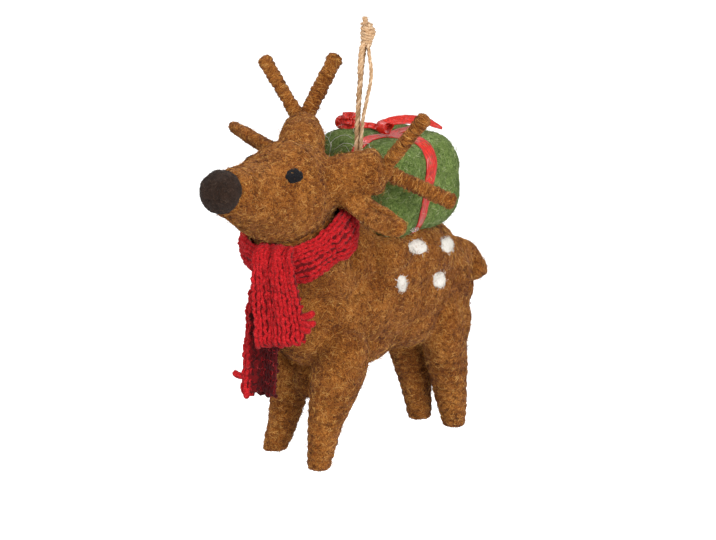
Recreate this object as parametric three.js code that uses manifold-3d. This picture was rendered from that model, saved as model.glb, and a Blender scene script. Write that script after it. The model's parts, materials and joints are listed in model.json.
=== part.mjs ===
// A needle-felted reindeer hanging ornament with a knitted scarf and a wrapped gift on its back.
// Units are millimetres and +Z is up. The deer looks along -Y, and its left side is +X.
// The origin is the top of the twine loop, just under its knot, where a hook or a twig carries the ornament.
// Inside the deer group, z = 0 is the plane of the four soles and x = 0 is the deer's middle plane.
import * as THREE from "three";
import { mergeVertices } from "three/addons/utils/BufferGeometryUtils.js";
import { RoundedBoxGeometry } from "three/addons/geometries/RoundedBoxGeometry.js";
import Module from "manifold-3d";

const wasm = await Module();
wasm.setup();

// Clearance between pieces that touch
const SEAM_GAP = 0.3;

// Torso: a felted barrel from chest to rump
const CHEST_Y = -38;
const SHOULDER_Y = -27;
const GIRTH_Y = -6;
const LOIN_Y = 13;
const HIP_Y = 28;
const RUMP_Y = 40;
const SHOULDER_WIDTH = 26;
const GIRTH_WIDTH = 32;
const LOIN_WIDTH = 32;
const HIP_WIDTH = 27;
const SHOULDER_DEPTH = 32;
const GIRTH_DEPTH = 36;
const LOIN_DEPTH = 35;
const HIP_DEPTH = 30;
const BELLY_HEIGHT = 31;

// Legs: roving wound on wire, thick at the thigh and thin at the flat sole, each bent by hand to its place
const LEG_SOLES = {
  front_left_leg: new THREE.Vector3(8.5, -29.2, 0),
  front_right_leg: new THREE.Vector3(-14.2, -27.8, 0),
  hind_left_leg: new THREE.Vector3(7.5, 30.5, 0),
  hind_right_leg: new THREE.Vector3(-4.5, 27, 0),
};
// The share of the way from its sole to its hip that each knee stands over
const KNEE_SHARES = { front_left_leg: 0.33, front_right_leg: 0.9, hind_left_leg: 0.4, hind_right_leg: 0.3 };
const FRONT_HIP_X = 12;
const FRONT_HIP_Y = -22;
const HIND_HIP_X = 9.5;
const HIND_HIP_Y = 22.5;
const FRONT_THIGH_DIAMETER = 17;
const HIND_THIGH_DIAMETER = 14.4;
const KNEE_DIAMETER = 11;
const SOLE_DIAMETER = 6.4;
const SOLE_TRIM = 2;
const THIGH_SINK = 7;
const THIGH_DOME = 7;
const THIGH_SHARE = 0.85;

// Neck: leans forward out of the shoulders, and carries the scarf at its collar point
const NECK_DIAMETER = 26.6;
const NECK_LEAN = 25;
const COLLAR_Y = -29.6;
const COLLAR_RISE = 11.4;
const NECK_BELOW_COLLAR = 20;
const NECK_FOOT_DOME = 7;
const NECK_ABOVE_COLLAR = 12;

// Head: a round skull with a short muzzle, rolled to its left
const HEAD_FORWARD = 4.4;
const HEAD_RISE = 13.6;
const HEAD_ROLL = 12;
const SKULL_WIDTH = 30;
const SKULL_DEPTH = 34.6;
const SKULL_BACK = 16;
const CHEEK_REACH = 11;
const CHEEK_WIDTH = 26;
const CHEEK_DEPTH = 25.6;
const CHEEK_LIFT = 1.2;
const MUZZLE_REACH = 20;
const MUZZLE_WIDTH = 19;
const MUZZLE_DEPTH = 17;
const MUZZLE_LIFT = 4.2;
const SNOUT_REACH = 25;
const SNOUT_WIDTH = 15;
const SNOUT_LIFT = 5.8;
const SNOUT_DOME = 3.4;
const NOSE_DIAMETER = 13.2;
const NOSE_REACH = 28.8;
const NOSE_LIFT = 7;
const EYE_DIAMETER = 5.2;
const EYE_REACH = 5.4;
const EYE_LEAN = 36;

// Ears: flat felted leaves that stand out sideways under the antlers
const EAR_LENGTH = 29;
const EAR_WIDTH = 9;
const EAR_THICKNESS = 4.6;
const EAR_SINK = 4;
const EAR_BACK = 12;
const EAR_LIFT = 2.7;
const LEFT_EAR_TWIST = 35;
const RIGHT_EAR_TWIST = -50;

// Antlers: a fat felted stalk each, forked into two wires wound with yarn
const STALK_ROOT = new THREE.Vector3(5, 8, 2);
const STALK_BEND = new THREE.Vector3(12, 15.5, 8.6);
const STALK_TIPS = {
  left: new THREE.Vector3(20, 24, 12),
  right: new THREE.Vector3(-20, 22, 12.4),
};
const STALK_ROOT_DIAMETER = 15;
const STALK_BEND_DIAMETER = 14.6;
const STALK_TIP_DIAMETER = 8.4;
const TINE_LENGTH = 21.5;
const TINE_SOCKET = 1;
const TINE_SPACING = 3.6;
const TINE_START = 5.8;
const TINE_WIRE_DIAMETER = 2.2;
const TINE_KNOB_DIAMETER = 4.6;
const YARN_DIAMETER = 1.2;
const YARN_PITCH = 1.75;
const TINE_LEANS = {
  left_front_tine: new THREE.Vector3(9.4, 4.2, 20),
  left_rear_tine: new THREE.Vector3(15.4, 12.4, -5.2),
  right_front_tine: new THREE.Vector3(-12.5, -5.5, 17),
  right_rear_tine: new THREE.Vector3(-3.2, 12.3, 16.4),
};

// Tail and the white spots on the flanks, each spot by its place along the back and round the barrel
const TAIL_DIAMETER = 5.6;
const TAIL_ROOT_IN = 6;
const TAIL_ROOT_DROP = 3.6;
const TAIL_BEND_OUT = 3;
const TAIL_BEND_DROP = 8;
const TAIL_TIP_OUT = 8.6;
const TAIL_TIP_DROP = 15.6;
const SPOTS = [
  { y: 12.2, upDegrees: 57, length: 5, width: 3.2 },
  { y: 26.7, upDegrees: 61, length: 3.8, width: 4.2 },
  { y: 0, upDegrees: 22.5, length: 3, width: 4.6 },
  { y: 15.8, upDegrees: 16.3, length: 4, width: 5 },
];
const SPOT_HEIGHT = 0.9;

// Gift: a pillowy felt block on the back, tied with ribbon
const GIFT_WIDTH = 34;
const GIFT_LENGTH = 33;
const GIFT_HEIGHT = 32;
const GIFT_EDGE_RADIUS = 8;
const GIFT_Y = 11.2;
const GIFT_SINK = 0.3;
const RIBBON_WIDTH = 3.1;
const RIBBON_THICKNESS = 0.5;
const RIBBON_Y = 7.2;
const BOW_KNOT_SIZE = 3.6;
const BOW_LOOP_REACH = 12;
const BOW_LOOP_LEAN = 5.6;
const BOW_LOOP_RISE = 5;
const BOW_LOOP_THICKNESS = 2.4;
const BOW_TAIL_REACH = 17;
const BOW_TAIL_SWING = 6;
const BOW_TAIL_RISE = 5.6;
const GLUE_BEAD_DIAMETER = 3.4;
const GLUE_BEAD_DIP = 25;

// Scarf: a knitted band round the neck with a front and a back end
const SCARF_THICKNESS = 3.6;
const SCARF_WIDTH = 9.6;
const SCARF_FRONT_TURN = 21;
const SCARF_FRONT_LENGTH = 29;
const SCARF_FRONT_WIDTH = 15.4;
const SCARF_BACK_X = -2;
const SCARF_BACK_LENGTH = 38;
const SCARF_BACK_WIDTH = 14.5;
const SCARF_BACK_GATHER = 6;
const SCARF_FOLD = 0.7;

// Twine hanger: two strands from a stitch in the back up to an overhand knot
const TWINE_DIAMETER = 1.6;
const TWINE_SPACING = 3.2;
const STITCH_X = 4;
const STITCH_Y = -8.6;
const STITCH_DEPTH = 5;
const HANGER_HEIGHT = 65.3;
const HANGER_LEAN_X = 1.8;
const HANGER_LEAN_Y = 2.4;
const LOOP_TOP_SPACING = 1.9;
const STRAND_BOW = 1.3;
const KNOT_HEIGHT = 9;
const KNOT_DIAMETER = 5.6;
const CUT_END_LENGTH = 8;

// Bendable wires inside the felt, which stop short of the soles
const WIRE_DIAMETER = 1.6;
const WIRE_END_RISE = 6;

const material = (color, roughness, metalness = 0) =>
  new THREE.MeshStandardMaterial({ color, roughness, metalness });
const BROWN_FELT = material(0x8a5a24, 1);
const DARK_FELT = material(0x2a1c14, 1);
const BLACK_FELT = material(0x14110f, 0.95);
const WHITE_FELT = material(0xe9e4da, 1);
const GREEN_FELT = material(0x4f6b35, 1);
const RED_KNIT = material(0xa3141c, 0.95);
const RED_SATIN = material(0xc4161c, 0.4);
const JUTE = material(0xb59668, 0.95);
const STEEL_WIRE = material(0x9a9c9f, 0.35, 1);
const CLEAR_GLUE = material(0xe8e6dc, 0.2);

const X_AXIS = new THREE.Vector3(1, 0, 0);
const Y_AXIS = new THREE.Vector3(0, 1, 0);
const Z_AXIS = new THREE.Vector3(0, 0, 1);
const SIDES = [["left", 1], ["right", -1]];
const radians = THREE.MathUtils.degToRad;
const vector = (x, y, z) => new THREE.Vector3(x, y, z);

// Joins rings of points into one closed surface, with a fan at each end or the last ring sewn to the first.
function skin(rings, looped = false) {
  const count = rings[0].length;
  const points = rings.flat();
  const triangles = [];
  const spans = looped ? rings.length : rings.length - 1;
  for (let ring = 0; ring < spans; ring += 1) {
    const here = ring * count;
    const next = ((ring + 1) % rings.length) * count;
    for (let i = 0; i < count; i += 1) {
      const j = (i + 1) % count;
      triangles.push(here + i, here + j, next + j, here + i, next + j, next + i);
    }
  }
  if (!looped) {
    const last = (rings.length - 1) * count;
    const middle = (ring) => ring.reduce((sum, p) => sum.add(p), vector(0, 0, 0)).divideScalar(count);
    const start = points.push(middle(rings[0])) - 1;
    const end = points.push(middle(rings.at(-1))) - 1;
    for (let i = 0; i < count; i += 1) {
      const j = (i + 1) % count;
      triangles.push(start, j, i, end, last + i, last + j);
    }
  }
  const geometry = new THREE.BufferGeometry().setFromPoints(points);
  geometry.setIndex(triangles);
  return geometry;
}

// A felted limb: oval rings along a smooth line of stations, with a domed or a flat end each way.
// Each station has a centre and the full width and depth of the limb there. grow swells the whole limb.
function limb({ stations, across, sides = 16, steps = 10, startDome = 0, endDome = 0, grow = 0 }) {
  const domeAngles = [20, 44, 68].map(radians);
  const centres = new THREE.CatmullRomCurve3(stations.map((s) => s.at));
  const halfSize = ({ wide, deep = wide }) => vector(wide / 2, deep / 2, 0);
  const sizes = new THREE.CatmullRomCurve3(stations.map(halfSize));
  const ringAt = (t, shift, shrink) => {
    const forward = centres.getTangent(t);
    const side = across.clone().addScaledVector(forward, -across.dot(forward)).normalize();
    const rise = forward.clone().cross(side);
    const size = sizes.getPoint(t);
    const centre = centres.getPoint(t).addScaledVector(forward, shift);
    return Array.from({ length: sides }, (_, i) => {
      const angle = (i / sides) * 2 * Math.PI;
      return centre
        .clone()
        .addScaledVector(side, (size.x + grow) * shrink * Math.cos(angle))
        .addScaledVector(rise, (size.y + grow) * shrink * Math.sin(angle));
    });
  };
  const dome = (t, length) => {
    const reach = Math.sign(length) * (Math.abs(length) + grow);
    return domeAngles.map((angle) => ringAt(t, reach * Math.sin(angle), Math.cos(angle)));
  };
  const body = Array.from({ length: steps + 1 }, (_, i) => ringAt(i / steps, 0, 1));
  const before = startDome ? dome(0, -startDome).reverse() : [];
  const after = endDome ? dome(1, endDome) : [];
  return skin([...before, ...body, ...after]);
}

// A round section with a few flat sides, and a cord, wire or yarn of that section along a curve.
function roundSection(diameter, sides) {
  const corner = (i) => (i / sides) * 2 * Math.PI;
  const corners = Array.from({ length: sides }, (_, i) =>
    new THREE.Vector2(Math.cos(corner(i)), Math.sin(corner(i))).multiplyScalar(diameter / 2),
  );
  return new THREE.Shape(corners);
}
function along(extrudePath, diameter, steps, sides) {
  const section = roundSection(diameter, sides);
  return new THREE.ExtrudeGeometry(section, { steps, extrudePath, bevelEnabled: false });
}
const tube = (points, diameter, steps, sides = 8) =>
  along(new THREE.CatmullRomCurve3(points), diameter, steps, sides);

// A flat band of cloth along a list of centres, each with the band's width there. Its folds run lengthwise.
// The columns are the places across the band where its faces have points, from one edge at -1 to the other.
const CLOTH_COLUMN_SHARES = [-1, -0.93, -0.62, -0.31, 0, 0.31, 0.62, 0.93, 1];
const RIBBON_COLUMN_SHARES = [-1, 0, 1];
function strip({ centres, widths, thickness, across, columns, fold = 0, waves = 1.5, steps = 10 }) {
  const line = new THREE.CatmullRomCurve3(centres);
  const breadth = new THREE.CatmullRomCurve3(widths.map((w) => vector(w, 0, 0)));
  const rings = Array.from({ length: steps + 1 }, (_, k) => {
    const t = k / steps;
    const forward = line.getTangent(t);
    const side = across.clone().addScaledVector(forward, -across.dot(forward)).normalize();
    const rise = forward.clone().cross(side);
    const half = breadth.getPoint(t).x / 2;
    const centre = line.getPoint(t);
    const pointAt = (share, face) => {
      const edge = Math.abs(share) === 1 ? 0.45 : 1;
      const ripple = fold * Math.sin(share * waves * Math.PI) * t;
      return centre
        .clone()
        .addScaledVector(side, half * share)
        .addScaledVector(rise, ripple + (face * edge * thickness) / 2);
    };
    const upper = columns.map((share) => pointAt(share, 1)).reverse();
    const lower = columns.map((share) => pointAt(share, -1));
    return [...lower, ...upper];
  });
  return skin(rings);
}

// Closed geometry to a solid that can be cut, and back again
function solid(geometry, matrix = new THREE.Matrix4()) {
  const bare = geometry.clone().applyMatrix4(matrix);
  bare.deleteAttribute("normal");
  bare.deleteAttribute("uv");
  const merged = mergeVertices(bare, 1e-4);
  return new wasm.Manifold(
    new wasm.Mesh({
      numProp: 3,
      vertProperties: new Float32Array(merged.attributes.position.array),
      triVerts: new Uint32Array(merged.index.array),
    }),
  );
}

function geometryOf(shape) {
  const mesh = shape.getMesh();
  const geometry = new THREE.BufferGeometry();
  geometry.setAttribute("position", new THREE.BufferAttribute(new Float32Array(mesh.vertProperties), 3));
  geometry.setIndex(new THREE.BufferAttribute(new Uint32Array(mesh.triVerts), 1));
  geometry.computeVertexNormals();
  return geometry;
}

const cut = (shape, ...tools) => tools.reduce((rest, tool) => rest.subtract(tool), shape);

function piece(group, name, geometry, finish) {
  const mesh = new THREE.Mesh(geometry, finish);
  mesh.name = name;
  group.add(mesh);
  return mesh;
}

const ornament = new THREE.Group();
const deer = new THREE.Group();
ornament.add(deer);
const neckLine = vector(0, -Math.sin(radians(NECK_LEAN)), Math.cos(radians(NECK_LEAN)));
const neckFront = vector(0, -Math.cos(radians(NECK_LEAN)), -Math.sin(radians(NECK_LEAN)));
const collar = vector(0, COLLAR_Y, BELLY_HEIGHT + SHOULDER_DEPTH + COLLAR_RISE);
const alongNeck = (distance) => collar.clone().addScaledVector(neckLine, distance);
const head = new THREE.Group();
head.position.set(0, collar.y - HEAD_FORWARD, collar.z + HEAD_RISE);
head.rotation.y = radians(HEAD_ROLL);
deer.add(head);
head.updateMatrix();
const headToDeer = head.matrix.clone();
const deerToHead = headToDeer.clone().invert();

// Torso
const torsoStations = [
  { y: SHOULDER_Y, wide: SHOULDER_WIDTH, deep: SHOULDER_DEPTH },
  { y: GIRTH_Y, wide: GIRTH_WIDTH, deep: GIRTH_DEPTH },
  { y: LOIN_Y, wide: LOIN_WIDTH, deep: LOIN_DEPTH },
  { y: HIP_Y, wide: HIP_WIDTH, deep: HIP_DEPTH },
].map(({ y, wide, deep }) => ({ at: vector(0, y, BELLY_HEIGHT + deep / 2), wide, deep }));
const torsoForm = (grow) =>
  limb({
    stations: torsoStations,
    across: X_AXIS,
    sides: 20,
    steps: 7,
    startDome: SHOULDER_Y - CHEST_Y,
    endDome: RUMP_Y - HIP_Y,
    grow,
  });
const torsoRoom = solid(torsoForm(SEAM_GAP));

// Where a line from inside the barrel, or from above it, meets its skin
const torsoSkin = new THREE.Mesh(torsoForm(0), new THREE.MeshBasicMaterial({ side: THREE.DoubleSide }));
const onTorso = (from, towards) => new THREE.Raycaster(from, towards).intersectObject(torsoSkin)[0];
const backTop = (x, y) => onTorso(vector(x, y, 2 * (BELLY_HEIGHT + GIRTH_DEPTH)), vector(0, 0, -1)).point.z;
function flank(y, upDegrees, side) {
  const middle = vector(0, y, (BELLY_HEIGHT + backTop(0, y)) / 2);
  const up = radians(upDegrees);
  const { point, face } = onTorso(middle, vector(side * Math.cos(up), 0, Math.sin(up)));
  return { point, normal: face.normal };
}

// Bendable wires: one along the spine into the head, and one through each pair of legs
const legPlans = [
  { end: "front", hipX: FRONT_HIP_X, hipY: FRONT_HIP_Y, thigh: FRONT_THIGH_DIAMETER },
  { end: "hind", hipX: HIND_HIP_X, hipY: HIND_HIP_Y, thigh: HIND_THIGH_DIAMETER },
];
function legLine({ end, hipX, hipY }, word, side) {
  const name = `${end}_${word}_leg`;
  const sole = LEG_SOLES[name].clone();
  const hip = vector(side * hipX, hipY, BELLY_HEIGHT + THIGH_SINK);
  const between = (share, z) => sole.clone().lerp(hip, share).setZ(z);
  return [sole, between(KNEE_SHARES[name], BELLY_HEIGHT / 2), between(THIGH_SHARE, BELLY_HEIGHT), hip];
}
const wireRoutes = {
  spine_wire: [
    vector(0, HIP_Y - 2, BELLY_HEIGHT + HIP_DEPTH / 2),
    vector(0, LOIN_Y - 8, BELLY_HEIGHT + LOIN_DEPTH / 2),
    vector(0, GIRTH_Y - 4, BELLY_HEIGHT + GIRTH_DEPTH / 2),
    alongNeck(-NECK_BELOW_COLLAR * 0.75),
    alongNeck(-NECK_BELOW_COLLAR * 0.3),
    alongNeck(NECK_ABOVE_COLLAR + WIRE_END_RISE),
  ],
};
for (const plan of legPlans) {
  const [left, right] = SIDES.map(([word, side]) => {
    const [sole, ...upper] = legLine(plan, word, side);
    return [sole.setZ(WIRE_END_RISE), ...upper];
  });
  const bridge = vector(0, plan.hipY, BELLY_HEIGHT + THIGH_SINK + WIRE_DIAMETER);
  wireRoutes[`${plan.end}_leg_wire`] = [...left, bridge, ...right.reverse()];
}
const wireStepCounts = { spine_wire: 12, front_leg_wire: 18, hind_leg_wire: 18 };
const wireSideCount = 6;
const wireRoom = {};
for (const [name, route] of Object.entries(wireRoutes)) {
  piece(deer, name, tube(route, WIRE_DIAMETER, wireStepCounts[name], wireSideCount), STEEL_WIRE);
  wireRoom[name] = solid(tube(route, WIRE_DIAMETER + 2 * SEAM_GAP, wireStepCounts[name], wireSideCount));
}

// The stitch is a small U of twine sewn through the back
const stitchSide = (side) => vector(STITCH_X + (side * TWINE_SPACING) / 2, STITCH_Y, 0);
const stitchTop = Math.min(...SIDES.map(([, side]) => backTop(stitchSide(side).x, STITCH_Y)));
const stitchLine = (top) => [
  stitchSide(-1).setZ(top),
  stitchSide(-1).setZ(stitchTop - STITCH_DEPTH * 0.6),
  vector(STITCH_X, STITCH_Y, stitchTop - STITCH_DEPTH),
  stitchSide(1).setZ(stitchTop - STITCH_DEPTH * 0.6),
  stitchSide(1).setZ(top),
];
const stitchStepCount = 10;
piece(deer, "twine_stitch", tube(stitchLine(stitchTop - SEAM_GAP), TWINE_DIAMETER, stitchStepCount), JUTE);
const stitchBore = TWINE_DIAMETER + 2 * SEAM_GAP;
const stitchRoom = solid(tube(stitchLine(stitchTop + TWINE_DIAMETER), stitchBore, stitchStepCount));
const loopTop = vector(STITCH_X + HANGER_LEAN_X, STITCH_Y + HANGER_LEAN_Y, stitchTop + HANGER_HEIGHT);
deer.position.copy(loopTop).negate();

const torso = cut(solid(torsoForm(0)), stitchRoom, ...Object.values(wireRoom));
piece(deer, "torso", geometryOf(torso), BROWN_FELT);

// Head, modelled in its own rolled group
const headForm = (grow) =>
  limb({
    stations: [
      { at: vector(0, SKULL_BACK * 0.55, 0.6), wide: SKULL_WIDTH * 0.8, deep: SKULL_DEPTH * 0.8 },
      { at: vector(0, 0, 0), wide: SKULL_WIDTH, deep: SKULL_DEPTH },
      { at: vector(0, -CHEEK_REACH, CHEEK_LIFT), wide: CHEEK_WIDTH, deep: CHEEK_DEPTH },
      { at: vector(0, -MUZZLE_REACH, MUZZLE_LIFT), wide: MUZZLE_WIDTH, deep: MUZZLE_DEPTH },
      { at: vector(0, -SNOUT_REACH, SNOUT_LIFT), wide: SNOUT_WIDTH, deep: SNOUT_WIDTH },
    ],
    across: X_AXIS,
    sides: 18,
    steps: 9,
    startDome: SKULL_BACK * 0.45,
    endDome: SNOUT_DOME,
    grow,
  });
const headRoom = solid(headForm(SEAM_GAP));
const headRoomInDeer = headRoom.transform(headToDeer.elements);
const headShape = cut(solid(headForm(0)), wireRoom.spine_wire.transform(deerToHead.elements));
piece(head, "head", geometryOf(headShape), BROWN_FELT);

// Neck, cut by the torso and the head that it joins
const neckForm = (grow) =>
  limb({
    stations: [
      { at: alongNeck(-NECK_BELOW_COLLAR), wide: NECK_DIAMETER * 1.04 },
      { at: alongNeck(0), wide: NECK_DIAMETER },
      { at: alongNeck(NECK_ABOVE_COLLAR), wide: NECK_DIAMETER * 0.94 },
    ],
    across: X_AXIS,
    sides: 18,
    steps: 4,
    startDome: NECK_FOOT_DOME,
    grow,
  });
const neck = cut(solid(neckForm(0)), torsoRoom, headRoomInDeer, wireRoom.spine_wire);
piece(deer, "neck", geometryOf(neck), BROWN_FELT);
const neckRoom = solid(neckForm(SEAM_GAP));

// Nose and eyes
const noseBall = solid(
  new THREE.SphereGeometry(NOSE_DIAMETER / 2, 14, 8),
  new THREE.Matrix4().makeTranslation(0, -NOSE_REACH, NOSE_LIFT),
);
piece(head, "nose", geometryOf(cut(noseBall, headRoom)), DARK_FELT);
const headSide = (reach) => {
  const share = reach / CHEEK_REACH;
  const mix = (from, to) => THREE.MathUtils.lerp(from, to, share) / 2;
  return { wide: mix(SKULL_WIDTH, CHEEK_WIDTH), deep: mix(SKULL_DEPTH, CHEEK_DEPTH) };
};
for (const [word, side] of SIDES) {
  const { wide, deep } = headSide(EYE_REACH);
  const lean = radians(EYE_LEAN);
  const place = vector(side * wide * Math.sin(lean), -EYE_REACH, deep * Math.cos(lean));
  const ball = new THREE.SphereGeometry(EYE_DIAMETER / 2, 10, 6);
  const eye = solid(ball, new THREE.Matrix4().makeTranslation(place));
  piece(head, `${word}_eye`, geometryOf(cut(eye, headRoom)), BLACK_FELT);
}

// Antlers and ears
const toSide = (p, side) => vector(side * p.x, p.y, p.z);
const stalkForm = (word, side, grow) =>
  limb({
    stations: [
      { at: toSide(STALK_ROOT, side), wide: STALK_ROOT_DIAMETER },
      { at: toSide(STALK_BEND, side), wide: STALK_BEND_DIAMETER },
      { at: STALK_TIPS[word], wide: STALK_TIP_DIAMETER },
    ],
    across: Y_AXIS,
    sides: 14,
    steps: 5,
    startDome: STALK_ROOT_DIAMETER * 0.3,
    endDome: STALK_TIP_DIAMETER / 2,
    grow,
  });

// A tine wire in its own frame, along +Y from the stalk's tip, with a rounded knob at the far end
function tineWire(grow = 0) {
  const wire = TINE_WIRE_DIAMETER / 2 + grow;
  const knob = TINE_KNOB_DIAMETER / 2 + grow;
  const knobCentre = TINE_LENGTH - TINE_KNOB_DIAMETER / 2;
  const profile = new THREE.Path();
  profile.moveTo(0, -TINE_SOCKET - grow);
  profile.lineTo(wire, -TINE_SOCKET - grow);
  profile.lineTo(wire, knobCentre - Math.sqrt(knob ** 2 - wire ** 2));
  profile.absarc(0, knobCentre, knob, -Math.acos(wire / knob), Math.PI / 2);
  return new THREE.LatheGeometry(profile.getPoints(4), 8);
}

// The yarn is one unbroken helix from the stalk to the knob
const yarnRadius = TINE_WIRE_DIAMETER / 2 + SEAM_GAP + YARN_DIAMETER / 2;
const yarnRise = TINE_LENGTH - TINE_KNOB_DIAMETER - TINE_START - SEAM_GAP - YARN_DIAMETER;
const yarnTurns = yarnRise / YARN_PITCH;
class YarnHelix extends THREE.Curve {
  getPoint(t, target = new THREE.Vector3()) {
    const angle = t * yarnTurns * 2 * Math.PI;
    const rise = TINE_START + YARN_DIAMETER / 2 + t * yarnRise;
    return target.set(yarnRadius * Math.cos(angle), rise, yarnRadius * Math.sin(angle));
  }
}
const yarnWinding = () => along(new YarnHelix(), YARN_DIAMETER, Math.round(yarnTurns * 8), 5);
function leastYarnGap() {
  const countPerTurn = 24;
  const points = new YarnHelix().getPoints(Math.round(yarnTurns * countPerTurn));
  let least = Infinity;
  for (let i = 0; i < points.length; i += 1) {
    for (let j = i + countPerTurn / 2; j < points.length; j += 1) {
      least = Math.min(least, points[i].distanceTo(points[j]));
    }
  }
  return least - YARN_DIAMETER;
}
console.log(`least gap of a tine's yarn to itself: ${leastYarnGap().toFixed(2)} mm`);

const antlerRoom = [headRoom];
for (const [word, side] of SIDES) {
  let stalk = cut(solid(stalkForm(word, side, 0)), headRoom);
  const tines = Object.entries(TINE_LEANS).filter(([name]) => name.startsWith(word));
  const leans = tines.map(([, lean]) => lean.clone().normalize());
  const apart = leans[0].clone().sub(leans[1]).normalize().multiplyScalar(TINE_SPACING / 2);
  for (const [index, [name]] of tines.entries()) {
    const tine = new THREE.Group();
    tine.position.copy(STALK_TIPS[word]).addScaledVector(apart, index === 0 ? 1 : -1);
    tine.quaternion.setFromUnitVectors(Y_AXIS, leans[index]);
    tine.updateMatrix();
    head.add(tine);
    piece(tine, `${name}_wire`, tineWire(), STEEL_WIRE);
    piece(tine, `${name}_yarn`, yarnWinding(), BROWN_FELT);
    stalk = stalk.subtract(solid(tineWire(SEAM_GAP), tine.matrix));
  }
  piece(head, `${word}_antler_stalk`, geometryOf(stalk), BROWN_FELT);
  antlerRoom.push(solid(stalkForm(word, side, SEAM_GAP)));
}
for (const [word, side, twist] of [["left", 1, LEFT_EAR_TWIST], ["right", -1, RIGHT_EAR_TWIST]]) {
  const earRoot = SKULL_WIDTH / 2 - EAR_SINK;
  const earPoint = (share) => vector(side * (earRoot + EAR_LENGTH * share), EAR_BACK, EAR_LIFT);
  const across = vector(0, Math.sin(radians(twist)), Math.cos(radians(twist)));
  const leaf = limb({
    stations: [
      { at: earPoint(-0.12), wide: EAR_WIDTH * 0.66, deep: EAR_THICKNESS },
      { at: earPoint(0.35), wide: EAR_WIDTH * 0.92, deep: EAR_THICKNESS },
      { at: earPoint(0.68), wide: EAR_WIDTH, deep: EAR_THICKNESS },
      { at: earPoint(0.88), wide: EAR_WIDTH * 0.74, deep: EAR_THICKNESS * 0.85 },
    ],
    across,
    sides: 12,
    steps: 6,
    endDome: EAR_LENGTH * 0.12,
  });
  piece(head, `${word}_ear`, geometryOf(cut(solid(leaf), ...antlerRoom)), BROWN_FELT);
}

// Legs, wound a little too long and trimmed flat at the soles
const underSoles = new THREE.BoxGeometry(2 * RUMP_Y, 4 * RUMP_Y, BELLY_HEIGHT);
const trimmedOff = solid(underSoles.translate(0, 0, -BELLY_HEIGHT / 2));
for (const plan of legPlans) {
  for (const [word, side] of SIDES) {
    const [sole, knee, belly, hip] = legLine(plan, word, side);
    const leg = limb({
      stations: [
        { at: sole.setZ(-SOLE_TRIM), wide: SOLE_DIAMETER },
        { at: knee, wide: KNEE_DIAMETER },
        { at: belly, wide: plan.thigh },
        { at: hip, wide: plan.thigh },
      ],
      across: X_AXIS,
      sides: 14,
      steps: 6,
      endDome: THIGH_DOME,
    });
    const shape = cut(solid(leg), trimmedOff, torsoRoom, wireRoom[`${plan.end}_leg_wire`]);
    piece(deer, `${plan.end}_${word}_leg`, geometryOf(shape), BROWN_FELT);
  }
}

// Tail
const fromRump = (out, drop) => vector(0, RUMP_Y + out, BELLY_HEIGHT + HIP_DEPTH - drop);
const tail = limb({
  stations: [
    { at: fromRump(-TAIL_ROOT_IN, TAIL_ROOT_DROP), wide: TAIL_DIAMETER },
    { at: fromRump(TAIL_BEND_OUT, TAIL_BEND_DROP), wide: TAIL_DIAMETER },
    { at: fromRump(TAIL_TIP_OUT, TAIL_TIP_DROP), wide: TAIL_DIAMETER * 0.86 },
  ],
  across: X_AXIS,
  sides: 12,
  steps: 5,
  endDome: TAIL_DIAMETER * 0.4,
});
piece(deer, "tail", geometryOf(cut(solid(tail), torsoRoom)), BROWN_FELT);

// White spots: thin lenses laid on the flanks
SPOTS.forEach(({ y, upDegrees, length, width }, index) => {
  for (const [word, side] of SIDES) {
    const { point, normal } = flank(y, upDegrees, side);
    const lens = new THREE.SphereGeometry(1, 10, 6);
    lens.scale(width / 2, length / 2, SPOT_HEIGHT + SEAM_GAP);
    const turn = new THREE.Matrix4().lookAt(normal, vector(0, 0, 0), Y_AXIS);
    const place = new THREE.Matrix4().makeTranslation(point).multiply(turn);
    piece(deer, `${word}_spot_${index + 1}`, geometryOf(cut(solid(lens, place), torsoRoom)), WHITE_FELT);
  }
});

// Gift
const giftBase = backTop(0, GIFT_Y) - GIFT_SINK;
const giftPlace = new THREE.Matrix4().makeTranslation(0, GIFT_Y, giftBase + GIFT_HEIGHT / 2);
const giftForm = (grow) =>
  solid(
    new RoundedBoxGeometry(
      GIFT_WIDTH + 2 * grow,
      GIFT_LENGTH + 2 * grow,
      GIFT_HEIGHT + 2 * grow,
      3,
      GIFT_EDGE_RADIUS + grow,
    ),
    giftPlace,
  );
piece(deer, "gift_block", geometryOf(cut(giftForm(0), torsoRoom)), GREEN_FELT);
const giftRoom = giftForm(SEAM_GAP);

// Ribbon: one band over the gift from side to side, and one from front to back that stops at it
const bandLayer = cut(giftForm(SEAM_GAP + RIBBON_THICKNESS), giftRoom, torsoRoom);
const slabPlace = new THREE.Matrix4().makeTranslation(0, RIBBON_Y, giftBase + GIFT_HEIGHT);
const slab = (x, y) => solid(new THREE.BoxGeometry(x, y, GIFT_HEIGHT * 2), slabPlace);
const sideBand = bandLayer.intersect(slab(GIFT_WIDTH * 2, RIBBON_WIDTH));
piece(deer, "side_ribbon_band", geometryOf(sideBand), RED_SATIN);
const sideBandRoom = slab(GIFT_WIDTH * 2, RIBBON_WIDTH + 2 * SEAM_GAP);
const longBand = bandLayer.intersect(slab(RIBBON_WIDTH, GIFT_LENGTH * 3)).subtract(sideBandRoom);
const [firstHalf, secondHalf] = longBand.decompose();
const frontFirst = firstHalf.boundingBox().min[1] < secondHalf.boundingBox().min[1];
piece(deer, "front_ribbon_band", geometryOf(frontFirst ? firstHalf : secondHalf), RED_SATIN);
piece(deer, "back_ribbon_band", geometryOf(frontFirst ? secondHalf : firstHalf), RED_SATIN);

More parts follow.
